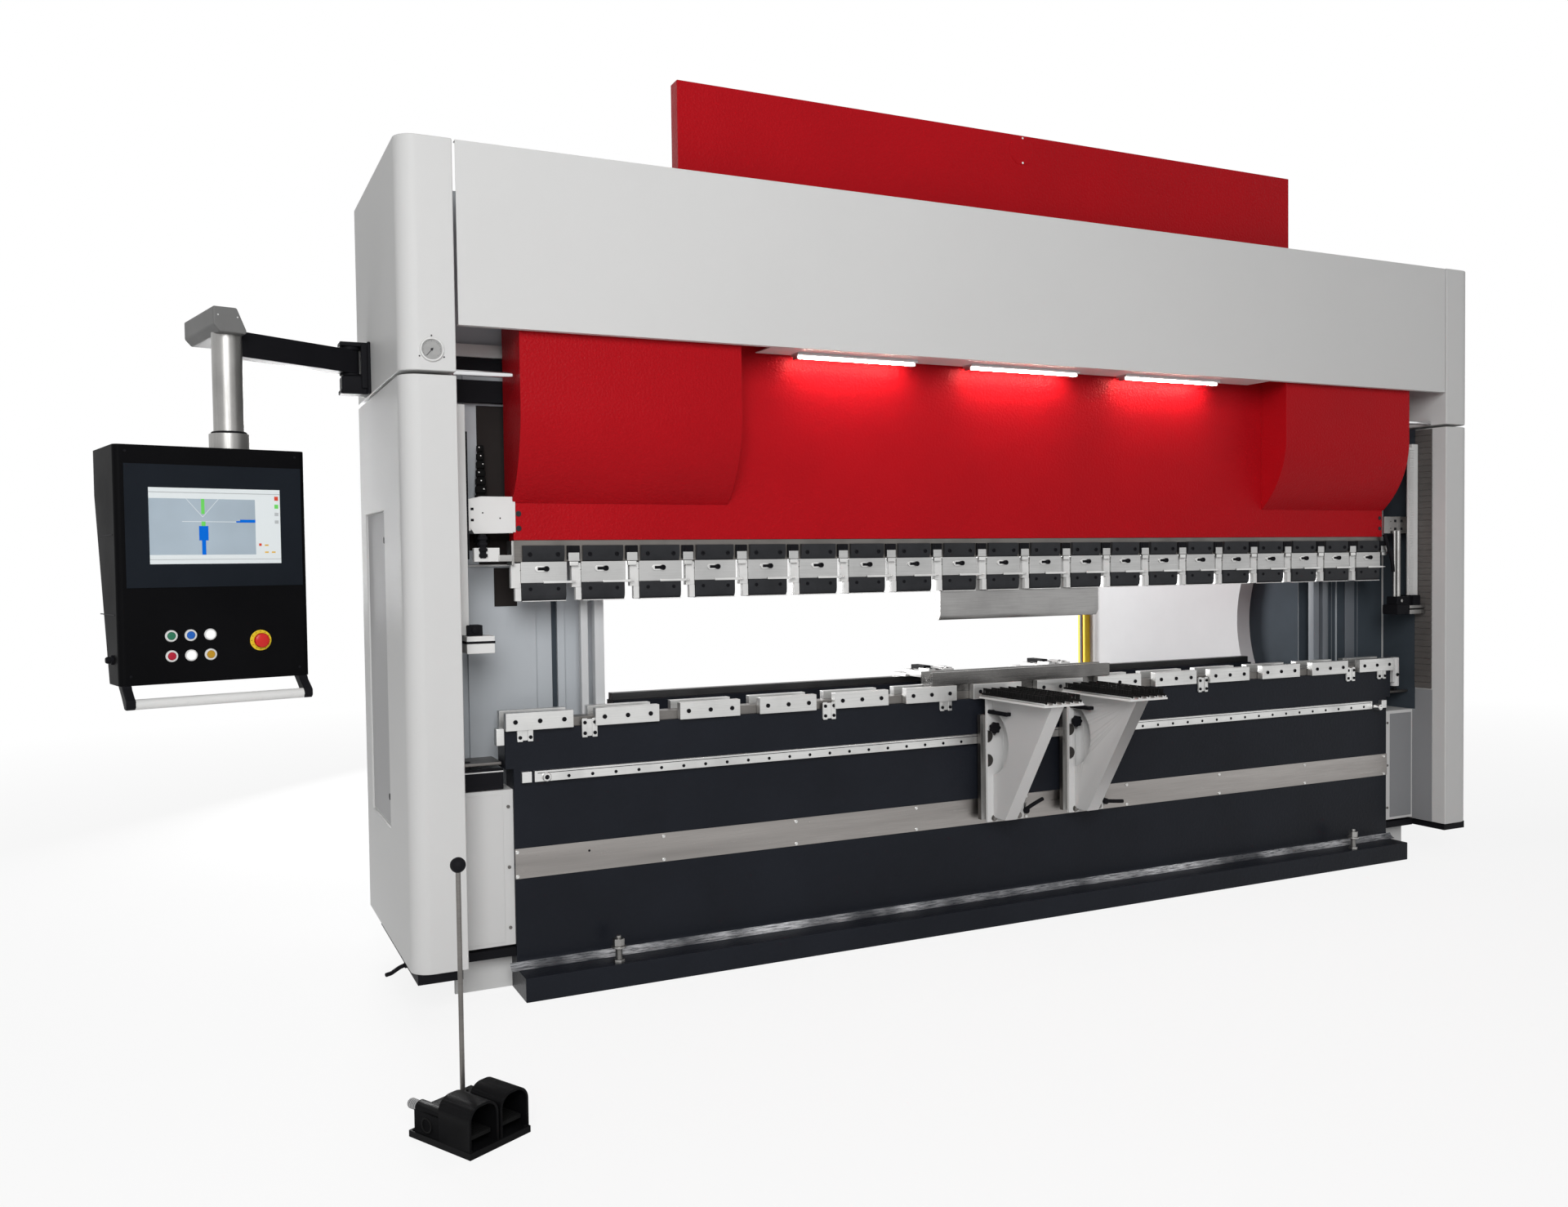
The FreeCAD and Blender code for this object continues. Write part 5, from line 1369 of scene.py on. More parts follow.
@dataclass
class Bed(SubAssembly):
    """Lower beam with its trim, the die, its clamps and the front rail."""

    broken = {"bed_beam": (BED_BLUE, 3.0), "bed_trim_strip": (STRIP_STEEL, 0.5),
              "die_rail": (DARK_STEEL, 1.0), "die_clamps": (CLAMP_STEEL, 1.2), "v_die": (DIE_STEEL, 0.8),
              "front_rail": (RAIL_STEEL, 1.0)}
    clamp_count: int = 14
    clamp_length: float = 222.0
    clamp_screw_shifts: tuple[float, ...] = (-80.0, 0.0, 80.0)
    clamp_screw_height: float = 28.0
    strip_start: float = -2008.0
    strip_pitch: float = 500.0
    strip_screws: int = 9
    strip_hole: float = -1768.0
    rail_holes: Pair = (-1837.0, 1880.0)
    rail_pitch: float = 80.0
    rail_groove: Pair = (-1940.0, 1890.0)
    left_knob: float = -1911.0
    right_knob: float = 1915.0
    link_places: tuple[float, ...] = (-1975, -1760, -870, -375, 900, 1775, 1975)
    link_heights: Pair = (815.0, 872.0)
    link_screws: tuple[float, ...] = (826.0, 861.0)
    end_stop: Box = Box((-2068, -45, 804), (-2042, -12, 858), 2.5)
    fillet_centre: Pair = (-72.0, 110.0)
    fillet_radii: Pair = (31.4, 32.6)
    level_bolt: Pair = (1699.0, -125.0)

    def details(self) -> None:
        """Screws of the strip, the rail and the clamps, and the small plates under the clamps."""
        dark = Form()
        steel = Form()
        low, high = span("bed_trim_strip")
        for index in range(self.strip_screws):
            x = min(self.strip_start + index * self.strip_pitch, high.x - 8)
            for z in (low.z + 8, high.z - 11):
                steel.screw((x, low.y, z), Along.FRONT, 6, 3.5)
        dark.drum((self.strip_hole, low.y + 0.3, high.z - 31), Along.FRONT, 0.6, 4, steps=16)
        self.rail_screws(dark, steel)
        self.clamp_screws(dark)
        self.link_plates(dark, steel)
        self.level_bolts()
        self.fillet_wear_and_highlight()
        steel.boxes([self.end_stop])
        dark.piece("bed_screws", SATIN_BLACK)
        steel.piece("bed_steel_parts", RAIL_STEEL)

    def rail_screws(self, dark: Form, steel: Form) -> None:
        """Screws and end knobs of the front rail, with the groove along it.

        Args:
            dark: Form that takes the black parts.
            steel: Form that takes the steel parts.
        """
        low, high = span("front_rail")
        x, end = self.rail_holes
        while x < end:
            dark.turned((x, low.y + 0.2, low.z + 12), Along.FRONT,
                        [(0, 0), (5.5, 0), (5.5, 0.9), (0, 0.5)], 18)
            x += self.rail_pitch
        start, end = self.rail_groove
        dark.block((start, low.y - 0.5, high.z - 8), (end, low.y + 0.5, high.z - 6))
        steel.turned((self.left_knob, low.y, low.z + 14), Along.FRONT,
                     [(0, 0), (15, 0), (15, 6), (12, 9), (8, 9), (8, 5), (0, 5)], 32)
        dark.stud((self.left_knob, low.y - 5, low.z + 14), Along.FRONT, 7.5, 1, steps=24)
        steel.turned((self.right_knob, low.y, low.z + 9), Along.FRONT,
                     [(0, 0), (14, 0), (14, 29), (12, 32), (6, 32), (6, 28), (0, 28)], 32)

    def clamp_screws(self, dark: Form) -> None:
        """Three screws in every die clamp, on both rows.

        Args:
            dark: Form that takes them.
        """
        low, high = span("die_clamps")
        pitch = (high.x - low.x - self.clamp_length) / (self.clamp_count - 1)
        for index in range(self.clamp_count):
            middle = low.x + index * pitch + self.clamp_length / 2
            for shift in self.clamp_screw_shifts:
                for y, along in ((low.y, Along.FRONT), (high.y, Along.Y)):
                    dark.screw((middle + shift, y, low.z + self.clamp_screw_height), along, 7.5, 2.5)

    def link_plates(self, dark: Form, steel: Form) -> None:
        """Small plates with four screws that join the bed to the clamps.

        Args:
            dark: Form that takes the screws.
            steel: Form that takes the plates.
        """
        face = span("bed_trim_strip")[1].y
        low, high = self.link_heights
        for x in self.link_places:
            steel.block((x - 27, face - 6, low), (x + 27, face, high), 3)
            for side in (-17, 17):
                steel.block((x + side - 9, face - 9, low - 3), (x + side + 9, face - 5, high + 3), 2)
                for z in self.link_screws:
                    dark.screw((x + side, face - 9, z), Along.FRONT, 6, 3)

    def fillet_wear_and_highlight(self) -> None:
        """Worn paint and a painted highlight along the hollow above the foot of the bed."""
        low, high = span("bed_beam")
        inner, outer = self.fillet_radii
        corners = [*arc(*self.fillet_centre, inner, -78, -18, 10),
                   *arc(*self.fillet_centre, outer, -18, -78, 10)]
        Form().prism(Plane.YZ, corners, (low.x + 3, high.x - 3)).piece("fillet_wear_and_highlight", SCUFFED_HIGHLIGHT)

    def level_bolts(self) -> None:
        """Levelling bolts in the foot of the bed."""
        steel = Form()
        for _, side in SIDES:
            x, y = side * self.level_bolt[0], self.level_bolt[1]
            steel.drum((x, y, 70), Along.Z, 60, 10, steps=24)
            for ring in range(12):
                steel.turned((x, y, 84 + ring * 3.4), Along.Z, [(10, 0), (11.6, 1.2), (10, 2.4)], 20,
                             closed=True)
            steel.hexagon((x, y, 72), Along.Z, 34, 16)
            steel.hexagon((x, y, 126), Along.Z, 34, 30)
            steel.drum((x, y, 156), Along.Z, 10, 8, steps=20, edge=1)
        steel.piece("level_bolts", MAST_STEEL)


@dataclass
class Supports(SubAssembly):
    """The two front supports that slide on the rail, with their brush tables."""

    broken = {"left_support_arm": (COVER_GREY, 1.5), "right_support_arm": (COVER_GREY, 1.5)}
    plate_height: float = 7.0
    holder_half: float = 9.0
    brush_half: float = 4.0
    brush_rows: int = 5
    tuft_pitch: float = 9.0
    tuft_radii: Pair = (2.6, 3.9)
    front: float = -94.3
    grip_height: float = 744.0
    cover_top: float = 792.0
    notches: Outline = ((710.0, 23.0), (619.0, 24.0))
    lever_reaches: ClassVar[dict[str, Outline]] = {"left": ((28, 22), (76, 39)),
                                                   "right": ((40, -4), (84, -7))}

    def details(self) -> None:
        """Both supports."""
        for name, _ in SIDES:
            self.table(name)
            self.grips(name)
            self.carriage(name)

    def table(self, name: str) -> None:
        """Plate with rows of brushes along the sheet's way.

        Args:
            name: Which support.
        """
        low, high = span(f"{name}_support_table")
        body = f"{name}_support"
        top = low.z + self.plate_height
        plate = Form().block(low, (high.x, high.y, top), 1.2)
        brushes = Form()
        holders = Form()
        row_pitch = (high.x - low.x - 24) / (self.brush_rows - 1)
        for row in range(self.brush_rows):
            x = low.x + 12 + row * row_pitch
            holders.block((x - self.holder_half, low.y + 4, top), (x + self.holder_half, high.y - 4,
                                                                   top + 7), 1)
            brushes.block((x - self.brush_half, low.y + 3, top + 4), (x + self.brush_half, high.y - 3,
                                                                      top + 14), 1)
            for index in range(int((high.y - low.y - 16) / self.tuft_pitch)):
                y = low.y + 8 + (index + 0.5) * self.tuft_pitch
                lean = 1.2 * math.sin(index * 2.4 + row)
                brushes.drum((x + lean, y, top + 12), Along.Z, high.z - top - 13, *self.tuft_radii, 0.0, 7)
        plate.piece(f"{name}_table_plate", CLEAN_WHITE, body, [f"{name}_support_table"])
        holders.piece(f"{name}_brush_holders", RAIL_STEEL, body)
        brushes.piece(f"{name}_brushes", BRISTLE, body)

    def grips(self, name: str) -> None:
        """Star grip, handle and clamp lever on the front of an arm.

        Args:
            name: Which support.
        """
        low, high = span(f"{name}_support_arm")
        grip = low.x + 21
        wall = low.x + 27
        dark = Form().lobed((grip, self.front - 14, self.grip_height), 23, 4.5, 7, 17)
        dark.drum((grip, self.front, self.grip_height), Along.FRONT, 16, 9)
        dark.block((wall - 24, -214, 796), (wall - 11, -92, 812), 5, 3)
        for y in (-210, -108):
            dark.block((wall - 22, y - 2, 797), (wall + 1, y + 14, 811), 3)
        x, z = high.x + 8, low.z + 30
        reach = [(x + across, self.front - 8, z + up) for across, up in self.lever_reaches[name]]
        dark.bar([(x, self.front + 4, z), *reach], 7.5)
        dark.drum((x, self.front + 14, z), Along.FRONT, 26, 12, edge=2)
        dark.piece(f"{name}_support_grips", SATIN_BLACK, f"{name}_support")

    def carriage(self, name: str) -> None:
        """Plates and screws that hold an arm on the rail, and its dark notches.

        Args:
            name: Which support.
        """
        low, high = span(f"{name}_support_arm")
        body = f"{name}_support"
        left = low.x
        bolts = Form()
        for shift in (30, 145):
            bolts.hexagon((left + shift, self.front, low.z + 14), Along.FRONT, 17, 9)
        bolts.block((left - 21, -83, low.z + 10), (left - 19.6, -62, self.cover_top), 0.4)
        bolts.piece(f"{name}_support_bolts", DARK_STEEL, body)
        steel = Form().block((left + 2, -81, low.z + 8), (high.x + 22, -66, low.z + 62), 2)
        steel.block((left - 20, -82, low.z + 10), (left + 1, -64, self.cover_top), 2)
        for x in (high.x + 6, high.x + 16):
            for z in (low.z + 14, low.z + 56):
                steel.screw((x, -81, z), Along.FRONT, 3.6, 3)
        steel.drum((left + 32, self.front, 716), Along.FRONT, 5, 4, steps=14)
        steel.piece(f"{name}_support_steel", MAST_STEEL, body)
        notches = Form()
        for z, radius in self.notches:
            notches.prism(Plane.XZ, arc(left + 3, z, radius, -90, 90, 18),
                          (self.front - 0.8, self.front + 0.4))
        notches.piece(f"{name}_support_notches", DARK_STEEL, body)


@dataclass
class Backgauge(SubAssembly):
    """Guides, beam, rail and stop fingers; a finger is given from its lowest corner."""

    broken = {"backgauge_guides": (BED_BLUE, 2.0), "backgauge_beam": (BED_BLUE, 2.0),
              "backgauge_rail": (RAIL_DARK, 1.0)}
    side_arm: Boxes = (Box((128, 226, 6), (196, 430, 20), 1.2), Box((138, 250, 20), (186, 410, 30), 1))
    dark_blocks: Boxes = (Box((88, 322, 10), (122, 420, 40), 1.5), Box((86, 210, 0), (124, 322, 14), 1.5))
    screws: tuple[Point, ...] = ((46, 200, 38), (46, 246, 38), (38, 320, 27), (56, 360, 27), (150, 280, 30),
                                 (174, 280, 30), (162, 380, 30), (216, 360, 28))

    def details(self) -> None:
        """Both stop fingers, in layers of machined plate."""
        for name, _ in SIDES:
            self.finger(name)

    def finger(self, name: str) -> None:
        """Carriage, finger plates, blocks and screws of one stop.

        Args:
            name: Which stop.
        """
        low, high = span(f"{name}_stop_finger")
        body = f"{name}_finger"
        x, tip, z = low
        corner = (x, 0, z)
        plates = Form().block((x, 320, z), (high.x, high.y, z + 12), 1.2)
        plates.prism(Plane.XY, [(x + 10, 330), (x + 10, 214), (x + 26, tip), (x + 66, tip), (x + 82, 214),
                                (x + 82, 330)], (z + 4, z + 16), 1)
        plates.block((x + 22, tip + 8, z + 16), (x + 70, 380, z + 27), 1)
        plates.block((x + 30, tip + 14, z + 27), (x + 62, 268, z + 38), 1)
        plates.boxes(self.side_arm, corner)
        plates.block((x + 204, 330, z + 12), (high.x, 425, z + 28), 1.2)
        plates.piece(f"{name}_finger_plates", CLAMP_STEEL, body, [f"{name}_stop_finger"])
        dark = Form().boxes(self.dark_blocks, corner)
        for screw in self.screws:
            dark.screw(Vector(screw) + Vector(corner), Along.Z, 5.5, 2)
        dark.piece(f"{name}_finger_blocks", SATIN_BLACK, body)


@dataclass
class WorkLamps(SubAssembly):
    """Lamps under the fascia."""

    spans: Outline = ((-1010.0, -534.0), (-294.0, 200.0), (436.0, 921.0))

    def details(self) -> None:
        """Housing and light strip of each lamp."""
        low, high = span("work_lamps")
        metal = Form()
        glow = Form()
        for start, end in self.spans:
            metal.block((start - 6, low.y, high.z - 10), (end + 2, high.y, high.z), 1.5)
            for x in (start - 5, end - 5):
                metal.block((x, low.y + 12, low.z + 1), (x + 6, low.y + 46, high.z - 8), 2)
            glow.block((start + 1, low.y + 22, low.z + 5), (end - 5, low.y + 35, high.z - 10), 2.5)
        metal.piece("lamp_housings", LAMP_METAL, "machine", ["work_lamps"])
        glow.piece("lamp_strips", LAMP_GLOW)


@dataclass
class Pendant(TurnedGroup):
    """Control box on its mast and swinging arm; its face is drawn about the mast and then turned."""

    broken = {"pendant_bracket": (SATIN_BLACK, 3.0), "pendant_mast": (MAST_STEEL, 1.5),
              "pendant_box": (BOX_BLACK, 3.0)}
    turn: float = 13.2
    body: str = "pendant_head"
    face: float = -135.0
    back: float = 135.0
    left: float = -352.5
    right: float = 182.5
    pivot: Pair = (-2425.0, 450.0)
    arm_degrees: float = 212.55
    arm_length: float = 464.1
    arm_half: float = 30.0
    arm_height: float = 78.0
    arm_screws: tuple[float, ...] = (60.0, 110.0)
    washers: Outline = ((-7.5, 7.4), (78.1, 10.6))
    hood: Outline = ((-56, 2116), (-37, 2095), (40, 2095), (40, 2106), (13, 2172), (-56, 2172))
    hood_span: Pair = (-70.0, 262.0)
    hood_screws: Outline = ((-42.0, 2146.0), (14.0, 2143.0))
    bracket_blocks: Boxes = (Box((-2393.5, 404, 1982), (-2366, 496, 2134), 4),
                             Box((-2456, 414, 1968), (-2372, 486, 2026), 8))
    bracket_sheet: Box = Box((-2386, 412, 1966), (-2374, 488, 2136), 3)
    surround: tuple[float, float, float, float] = (-327.0, 168.0, 1328.0, 1685.0)
    screen: tuple[float, float, float, float] = (-264.0, 104.0, 1396.0, 1618.0)
    stop: Pair = (38.0, 1163.0)
    key_columns: tuple[float, ...] = (-213, -160, -106)
    key_rows: tuple[tuple[int, tuple[Finish, ...]], ...] = ((1187, (KEY_GREEN, KEY_BLUE, KEY_WHITE)),
                                                            (1128, (KEY_RED, KEY_WHITE, KEY_AMBER)))
    handle_ends: Pair = (-320.0, 150.0)
    handle_radius: float = 15.0
    bracket_width: float = 26.0

    def details(self) -> None:
        """Everything on the box, the handle and the arm with its hood."""
        low, high = span("pendant_mast")
        self.middle = ((low.x + high.x) / 2, (low.y + high.y) / 2, 0.0)
        self.display()
        self.keys()
        self.emergency_stop()
        self.handle()
        self.box_fittings(low.z)
        self.arm()
        self.bracket()

    def signs(self, *marks: tuple[Pair, Pair, int]) -> Form:
        """Flat marks on the screen.

        Args:
            *marks: Start and end across the screen, the same up the screen, both as shares of it, and how
                many layers the mark lies above the page.

        Returns:
            The marks.
        """
        left, right, bottom, top = self.screen
        across, up = right - left, top - bottom
        form = Form()
        for x, z, layer in marks:
            front = self.face - 3.0 - layer * 0.35
            form.block((left + across * x[0], front, bottom + up * z[0]),
                       (left + across * x[1], front + 0.5, bottom + up * z[1]))
        return form

    def display(self) -> None:
        """Dark surround and the screen with a simple side view of the tools."""
        left, right, bottom, top = self.surround
        plate = Form().block((left, self.face - 2, bottom), (right, self.face + 1, top), 0.8)
        self.placed(plate, "screen_surround", SURROUND_BLUE)
        left, right, bottom, top = self.screen
        page = Form().block((left, self.face - 3, bottom), (right, self.face - 1.5, top), 0.3)
        self.placed(page, "screen_page", PAGE_WHITE)
        lines = self.signs(((0.24, 0.66), (0.555, 0.562), 2))
        for side in (-1, 1):
            slanted = Form().block((-0.6, self.face - 3.9, 0), (0.6, self.face - 3.4, 70))
            slanted.turned_by(side * 40, "Y")
            lines.add(slanted, (left + (right - left) * 0.395, 0, bottom + (top - bottom) * 0.62))
        lines.add(self.signs(*(((0.02, 0.06), (share, share + 0.012), 2) for share in (0.08, 0.92))))
        button = (0.955, 0.985)
        low_row = (0.14, 0.16)
        for name, finish, form in (
                ("screen_field", FIELD_BLUE, self.signs(((0.0, 0.80), (0.12, 0.86), 1))),
                ("screen_lines", PAGE_WHITE, lines),
                ("screen_green", SIGN_GREEN, self.signs(((0.385, 0.41), (0.66, 0.86), 3),
                                                        ((0.385, 0.415), (0.50, 0.56), 3),
                                                        (button, (0.745, 0.80), 2))),
                ("screen_blue", SIGN_BLUE, self.signs(((0.365, 0.435), (0.31, 0.50), 3),
                                                      ((0.385, 0.415), (0.12, 0.31), 3),
                                                      ((0.68, 0.80), (0.55, 0.59), 3),
                                                      ((0.65, 0.68), (0.55, 0.57), 3))),
                ("screen_red", SIGN_RED, self.signs((button, (0.855, 0.91), 2),
                                                    ((0.825, 0.845), (0.235, 0.27), 2))),
                ("screen_grey", SIGN_GREY, self.signs((button, (0.645, 0.69), 2),
                                                      (button, (0.54, 0.585), 2),
                                                      ((0.0, 1.0), (0.935, 0.945), 2),
                                                      ((0.0, 1.0), (0.055, 0.062), 2))),
                ("screen_amber", SIGN_AMBER, self.signs(((0.87, 0.90), (0.235, 0.255), 2),
                                                        ((0.87, 0.90), low_row, 2),
                                                        ((0.925, 0.955), low_row, 2)))):
            self.placed(form, name, finish)

    def keys(self) -> None:
        """Six lit keys in white rings."""
        rings = Form()
        for z, finishes in self.key_rows:
            for x, finish in zip(self.key_columns, finishes):
                seat = (x, self.face, z)
                rings.turned(seat, Along.FRONT, [(11.5, 0), (17, 0), (17, 4), (15, 6.5), (12, 6.5),
                                                 (11.5, 4)], 36, closed=True)
                wide = 13.5 if finish is KEY_WHITE else 11.4
                key = Form().turned(seat, Along.FRONT, [(0, 0), (wide, 0), (wide, 5.5), (wide - 1.5, 7.4),
                                                        (6, 8), (0, 8.2)], 36)
                self.placed(key, f"key_{-x}_{z}", finish)
        self.placed(rings, "key_rings", CLEAN_WHITE)

    def emergency_stop(self) -> None:
        """Yellow disc, black collar and the red mushroom that is pushed."""
        x, z = self.stop
        seat = (x, self.face, z)
        disc = Form().turned(seat, Along.FRONT, [(12, 0), (31, 0), (31, 0.6), (30, 0.9), (12, 0.9)], 48,
                             closed=True)
        self.placed(disc, "stop_disc", STOP_YELLOW)
        marks = Form()
        for angle in range(0, 360, 30):
            mark = Form().block((-0.6, -1.5, 25), (0.6, -0.7, 28.5)).turned_by(angle, "Y")
            marks.add(mark, seat)
        self.placed(marks, "stop_disc_marks", SATIN_BLACK)
        cap = Form().turned((x, self.face - 6, z), Along.FRONT, [(0, -22), (10.8, -22), (10.8, 0), (17, 0),
                                                                 (22, 3), (22, 9), (20, 13), (14, 15.5),
                                                                 (0, 16)], 48)
        self.placed(cap, "stop_cap", STOP_RED, "stop_button", ["emergency_stop"])

    def handle(self) -> None:
        """White bar between two black brackets."""
        low, high = span("pendant_handle")
        radius = self.handle_radius
        z, y = low.z + radius, self.face - radius * 2
        start, end = self.handle_ends
        bar = Form().drum((start - 4, y, z), Along.X, end - start + 8, radius, edge=1.5, steps=40)
        self.placed(bar, "handle_bar", CLEAN_WHITE, replaces=["pendant_handle"])
        brackets = Form()
        for x in (start - self.bracket_width, end):
            brackets.prism(Plane.YZ, [(y - 17, z + 12), (y - 17, z - 8), (y - 8, z - 15), (y + 12, z - 15),
                                      (y + 44, z + 18), (self.face + 58, high.z + 2),
                                      (self.face + 1, high.z + 2), (self.face - 6, high.z - 10)],
                           (x, x + self.bracket_width), 4, 3)
        self.placed(brackets, "handle_brackets", SATIN_BLACK)

    def box_fittings(self, top: float) -> None:
        """Ring on the collar, glands, cover screws and the plate on the back.

        Args:
            top: Top of the box.
        """
        dark = Form().turned((0, 0, top + 55), Along.Z, [(44, 0), (52, 0), (52, 4), (49, 7), (44, 7)], 56,
                             closed=True)
        dark.turned((self.left, -60, 1121), Along.LEFT, [(0, 0), (14, 0), (14, 6), (10, 8), (10, 16),
                                                         (7, 20), (0, 20)], 28)
        for z in (1250, 1480):
            dark.block((self.left - 1.2, -100, z), (self.left + 1, 90, z + 3), 0.4)
        for x in (self.left + 30.5, self.right - 30.5):
            for z in (1075, 1720):
                dark.stud((x, self.face, z), Along.FRONT, 4, 1.5, top=3.4, steps=18)
        self.placed(dark, "pendant_fittings", SATIN_BLACK)
        plate = Form().block((self.left + 40, self.back, 1620), (self.right - 40, self.back + 2, 1725), 1)
        for index in range(8):
            x = self.left + 90 + index * 46
            plate.block((x, self.back + 1.5, 1640), (x + 20, self.back + 3.5, 1700), 1)
        self.placed(plate, "pendant_back_plate", BLACK_OXIDE)

    def arm(self) -> None:
        """Black bar from the bracket and the grey hood over the mast."""
        bottom = span("pendant_arm")[0].z
        half = self.arm_half
        bar = Form().block((0, -half, bottom), (self.arm_length, half, bottom + self.arm_height), 2.5)
        bar.drum((0, 0, bottom), Along.Z, self.arm_height, half, edge=2, steps=40)
        for lift, height in self.washers:
            bar.drum((0, 0, bottom + lift), Along.Z, height, half + 4, edge=1, steps=40)
        for x in self.arm_screws:
            bar.stud((x, -half, bottom + 20), Along.FRONT, 5, 2, top=4, steps=18)
        bar.turned_by(self.arm_degrees)
        Form().add(bar, (*self.pivot, 0)).piece("arm_bar", SATIN_BLACK, "pendant_arm", ["pendant_arm"])
        bar.mesh.free()
        hood = Form().prism(Plane.XZ, self.hood, self.hood_span, 5, 3)
        self.placed(hood, "arm_hood", HOOD_GREY, "pendant_arm")
        screws = Form()
        for x, z in self.hood_screws:
            screws.stud((x, self.hood_span[0], z), Along.FRONT, 2.6, 1.2, top=2.2, steps=16)
        self.placed(screws, "hood_screws", RAIL_STEEL, "pendant_arm")

    def bracket(self) -> None:
        """Block and back plate of the bracket on the column."""
        block = Form()
        for low, high, edge in self.bracket_blocks:
            block.block(low, high, edge, 3)
        block.boxes([self.bracket_sheet]).piece("bracket_block", SATIN_BLACK)


@dataclass
class FootSwitch(TurnedGroup):
    """Double foot switch with its carrying rod, drawn about its middle and then turned."""

    broken = {"pedal_housing": (PEDAL_SHELL, 2.5), "left_treadle": (RUBBER, 1.5),
              "right_treadle": (RUBBER, 1.5), "pedal_carry_rod": (DARK_STEEL, 0.5)}
    middle: Point = (-2369.0, -1002.0, 0.0)
    turn: float = 28.0
    treadle_middle: float = 47.0
    rib: Box = Box((-29, -90, 45.5), (29, -86, 47.6), 0.8)
    rib_count: int = 7
    rib_pitch: float = 9.5
    gland: Point = (-67.0, 100.0, 68.0)
    gland_rings: int = 6
    gland_pitch: float = 6.0
    foot_screw: tuple[float, float, float] = (84.0, 104.0, 16.0)
    lid_screw: tuple[float, float, float] = (60.0, 80.0, 68.0)
    knob: Point = (-6.0, 16.5, 657.0)
    knob_radius: float = 18.9

    def details(self) -> None:
        """Ribs on the treadles, the gland's rings, the ball knob and the marks on the shell."""
        for name, side in SIDES:
            ribs = Form()
            for index in range(self.rib_count):
                ribs.boxes([self.rib], (side * self.treadle_middle, index * self.rib_pitch, 0))
            self.placed(ribs, f"{name}_treadle_ribs", RUBBER, f"{name}_treadle")
        rings = Form()
        x, y, z = self.gland
        for index in range(self.gland_rings):
            rings.turned((x, y + index * self.gland_pitch, z), Along.Y,
                         [(8, 0), (12.5, 0.8), (12.5, 3.4), (8, 4.2)], 28, closed=True)
        self.placed(rings, "gland_rings", RECESS_GREY)
        shell = Form().turned((-87, 52, 40), Along.LEFT, [(15, -1), (19, -1), (19, 1.2), (17, 2),
                                                          (15, 1.2)], 36, closed=True)
        for side in (-1, 1):
            for end in (-1, 1):
                shell.screw((side * self.foot_screw[0], end * self.foot_screw[1], self.foot_screw[2]),
                            Along.Z, 4, 2.5)
            shell.screw((side * self.lid_screw[0], *self.lid_screw[1:]), Along.Z, 3.5, 2)
        self.placed(shell, "pedal_shell_marks", RUBBER)
        knob = Form().turned(self.knob, Along.Z, arc(0, 0, self.knob_radius, -90, 90, 15), 32)
        self.placed(knob, "carry_rod_knob", SATIN_BLACK)


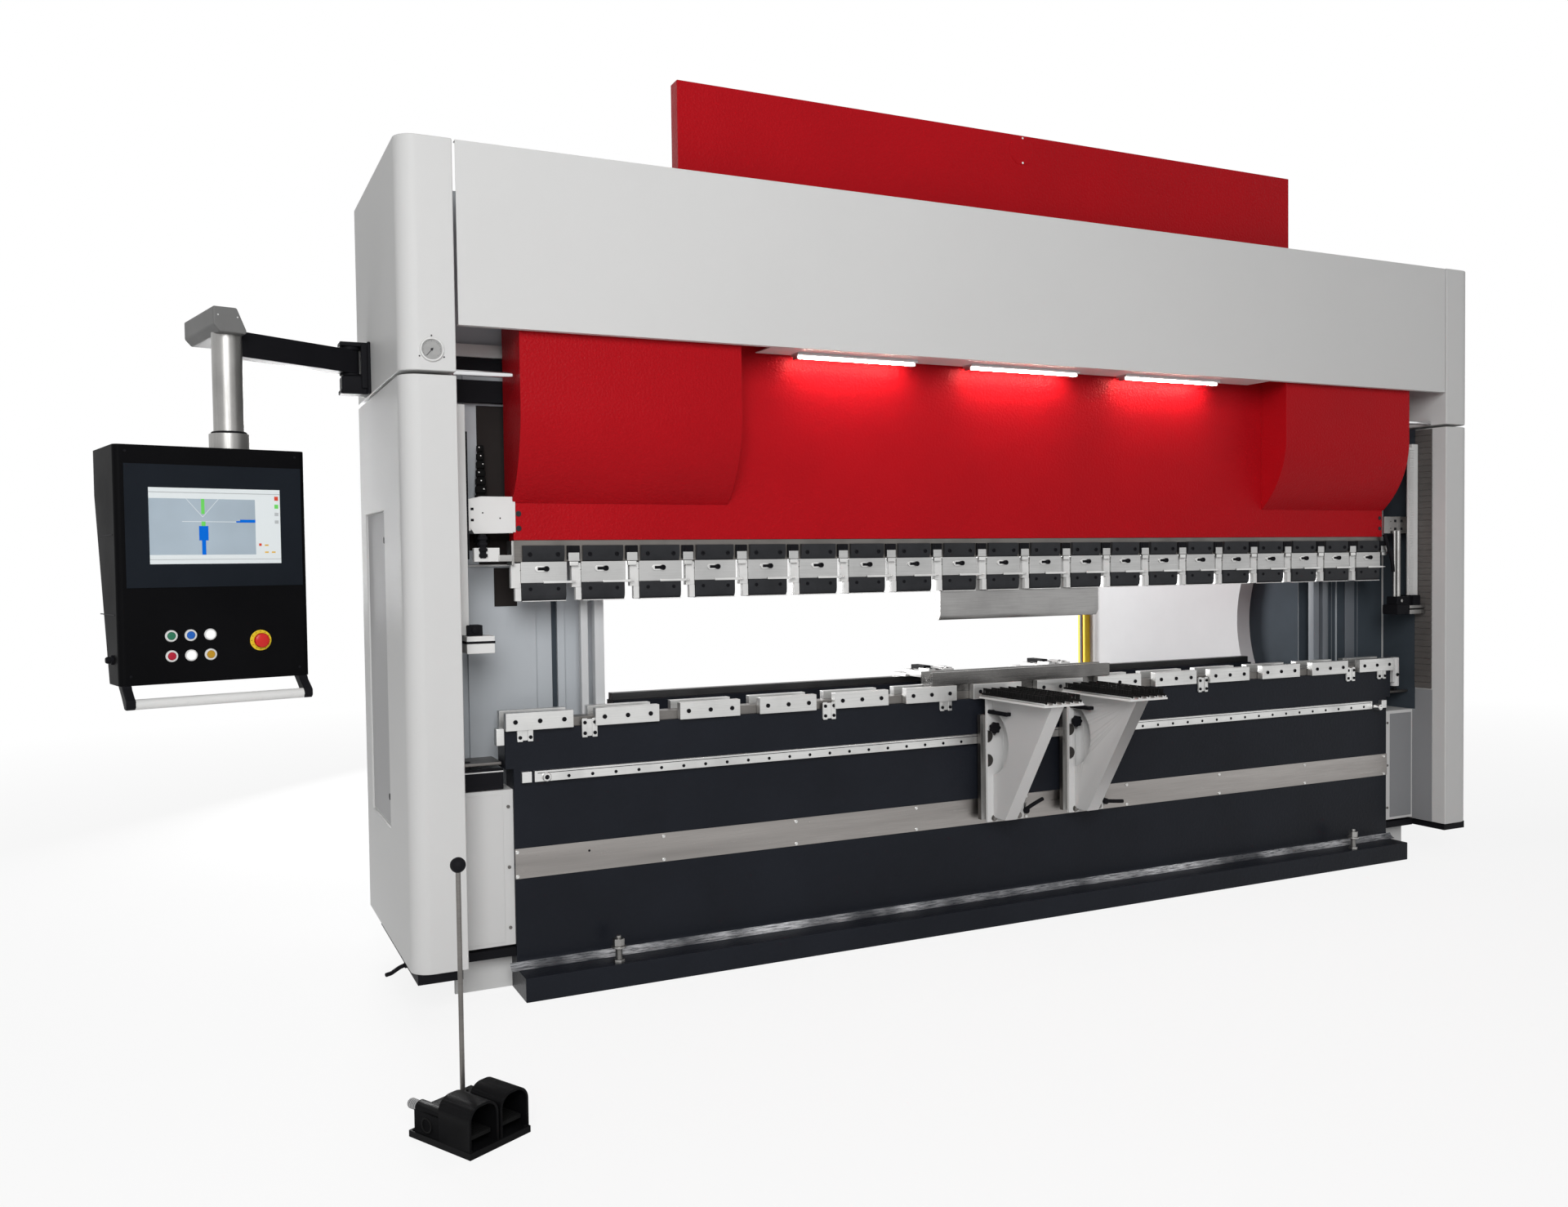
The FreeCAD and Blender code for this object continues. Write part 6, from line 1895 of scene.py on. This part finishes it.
@dataclass
class Studio:
    """Floor, light, background and the photograph's camera."""

    camera_place: tuple[float, float, float] = (-2.988, -4.087, 1.375)
    yaw: float = 25.68
    pitch: float = 1.81
    roll: float = -0.753
    lens: float = 29.2275
    sensor: float = 36.0
    floor_size: float = 60.0
    key_place: tuple[float, float, float] = (-3.8, -6.6, 4.2)
    key_aim: tuple[float, float, float] = (-0.8, 0.0, 1.3)
    key_power: float = 365.0
    rear_place: tuple[float, float, float] = (-2.0, 4.6, 1.9)
    rear_aim: tuple[float, float, float] = (1.6, 0.9, 1.2)
    rear_power: float = 250.0
    rear_size: float = 1.6
    key_size: float = 4.0
    sky: float = 0.22
    floor_share: float = 0.86
    fade_start: float = 3.5
    fade_end: float = 9.0

    def build(self) -> None:
        """Set everything up."""
        self.floor()
        self.background()
        self.lamp("key", self.key_place, self.key_aim, self.key_power, self.key_size)
        self.lamp("rear", self.rear_place, self.rear_aim, self.rear_power, self.rear_size)
        self.camera()
        bpy.context.scene.view_settings.view_transform = "Standard"

    def seen(self, shades: Shades) -> object:
        """Where a ray comes from the camera, a mirror or glass.

        Args:
            shades: Tree to add to.

        Returns:
            The socket that is 1 for such a ray.
        """
        rays = shades.add("ShaderNodeLightPath").outputs
        either = shades.combine("MAXIMUM", rays["Is Camera Ray"], rays["Is Glossy Ray"])
        return shades.combine("MAXIMUM", either, rays["Is Transmission Ray"])

    def floor(self) -> None:
        """Pale plain floor that keeps the machine's shadow."""
        mesh = bmesh.new()
        bmesh.ops.create_grid(mesh, x_segments=1, y_segments=1, size=self.floor_size / 2)
        data = bpy.data.meshes.new("floor")
        mesh.to_mesh(data)
        mesh.free()
        material = bpy.data.materials.new("floor")
        shades = Shades(material)
        clouds = shades.noise(0.6, 2.0)
        tint = shades.blend(shades.spread(clouds, 0.0, 1.0), (0.86, 0.86, 0.86), (0.89, 0.89, 0.89))
        matt = shades.add("ShaderNodeBsdfDiffuse", Color=tint)
        bright = shades.add("ShaderNodeEmission", Color=WHITE, Strength=1.0)
        reach = shades.add("ShaderNodeVectorMath", n0=shades.place)
        reach.operation = "LENGTH"
        plain = shades.spread(reach.outputs["Value"], self.floor_share, 1.0, self.fade_start, self.fade_end)
        share = shades.combine("MULTIPLY", self.seen(shades), plain)
        mixed = shades.add("ShaderNodeMixShader", Fac=share, n1=matt.outputs[0], n2=bright.outputs[0])
        shades.add("ShaderNodeOutputMaterial", Surface=mixed.outputs[0])
        data.materials.append(material)
        ground = bpy.data.objects.new("floor", data)
        bpy.context.scene.collection.objects.link(ground)

    def background(self) -> None:
        """Even soft light from all round, and white where it is seen."""
        world = bpy.data.worlds.new("studio")
        bpy.context.scene.world = world
        shades = Shades(world)
        soft, white = (shades.add("ShaderNodeBackground", Color=WHITE,
                                  Strength=strength).outputs[0] for strength in (self.sky, 1.0))
        mixed = shades.add("ShaderNodeMixShader", Fac=self.seen(shades), n1=soft, n2=white)
        shades.add("ShaderNodeOutputWorld", Surface=mixed.outputs[0])

    def lamp(self, name: str, place: Point, aim: Point, power: float, size: float) -> None:
        """Large soft lamp.

        Args:
            name: Its name.
            place: Where it stands, in metres.
            aim: Where it points.
            power: Its power in watts.
            size: Side of its square face.
        """
        light = bpy.data.lights.new(name, "AREA")
        light.energy = power
        light.size = size
        holder = bpy.data.objects.new(name, light)
        holder.location = place
        holder.rotation_euler = (Vector(aim) - Vector(place)).to_track_quat("-Z", "Y").to_euler()
        bpy.context.scene.collection.objects.link(holder)

    def camera(self) -> None:
        """Camera at the photograph's place."""
        yaw, pitch, roll = (math.radians(angle) for angle in (self.yaw, self.pitch, self.roll))
        ahead = Vector((math.sin(yaw) * math.cos(pitch), math.cos(yaw) * math.cos(pitch), -math.sin(pitch)))
        level = Vector((math.cos(yaw), -math.sin(yaw), 0.0))
        above = level.cross(ahead)
        right = level * math.cos(roll) + above * math.sin(roll)
        top = above * math.cos(roll) - level * math.sin(roll)
        data = bpy.data.cameras.new("camera")
        data.lens = self.lens
        data.sensor_width = self.sensor
        data.sensor_fit = "HORIZONTAL"
        holder = bpy.data.objects.new("camera", data)
        axes = Matrix((right, top, -ahead)).transposed().to_4x4()
        holder.matrix_world = Matrix.Translation(self.camera_place) @ axes
        bpy.context.scene.collection.objects.link(holder)
        bpy.context.scene.camera = holder


def main() -> None:
    """Build every group of the machine and the studio round it."""
    logging.basicConfig(level=logging.INFO, format="%(message)s")
    for group in (Housing(), Interior(), Structure(), Ram(), LaserGuards(), Bed(), Supports(), Backgauge(),
                  WorkLamps(), Pendant(), FootSwitch(), Studio()):
        group.build()
        LOG.info("%s done", type(group).__name__)


if __name__ == "__main__":
    main()
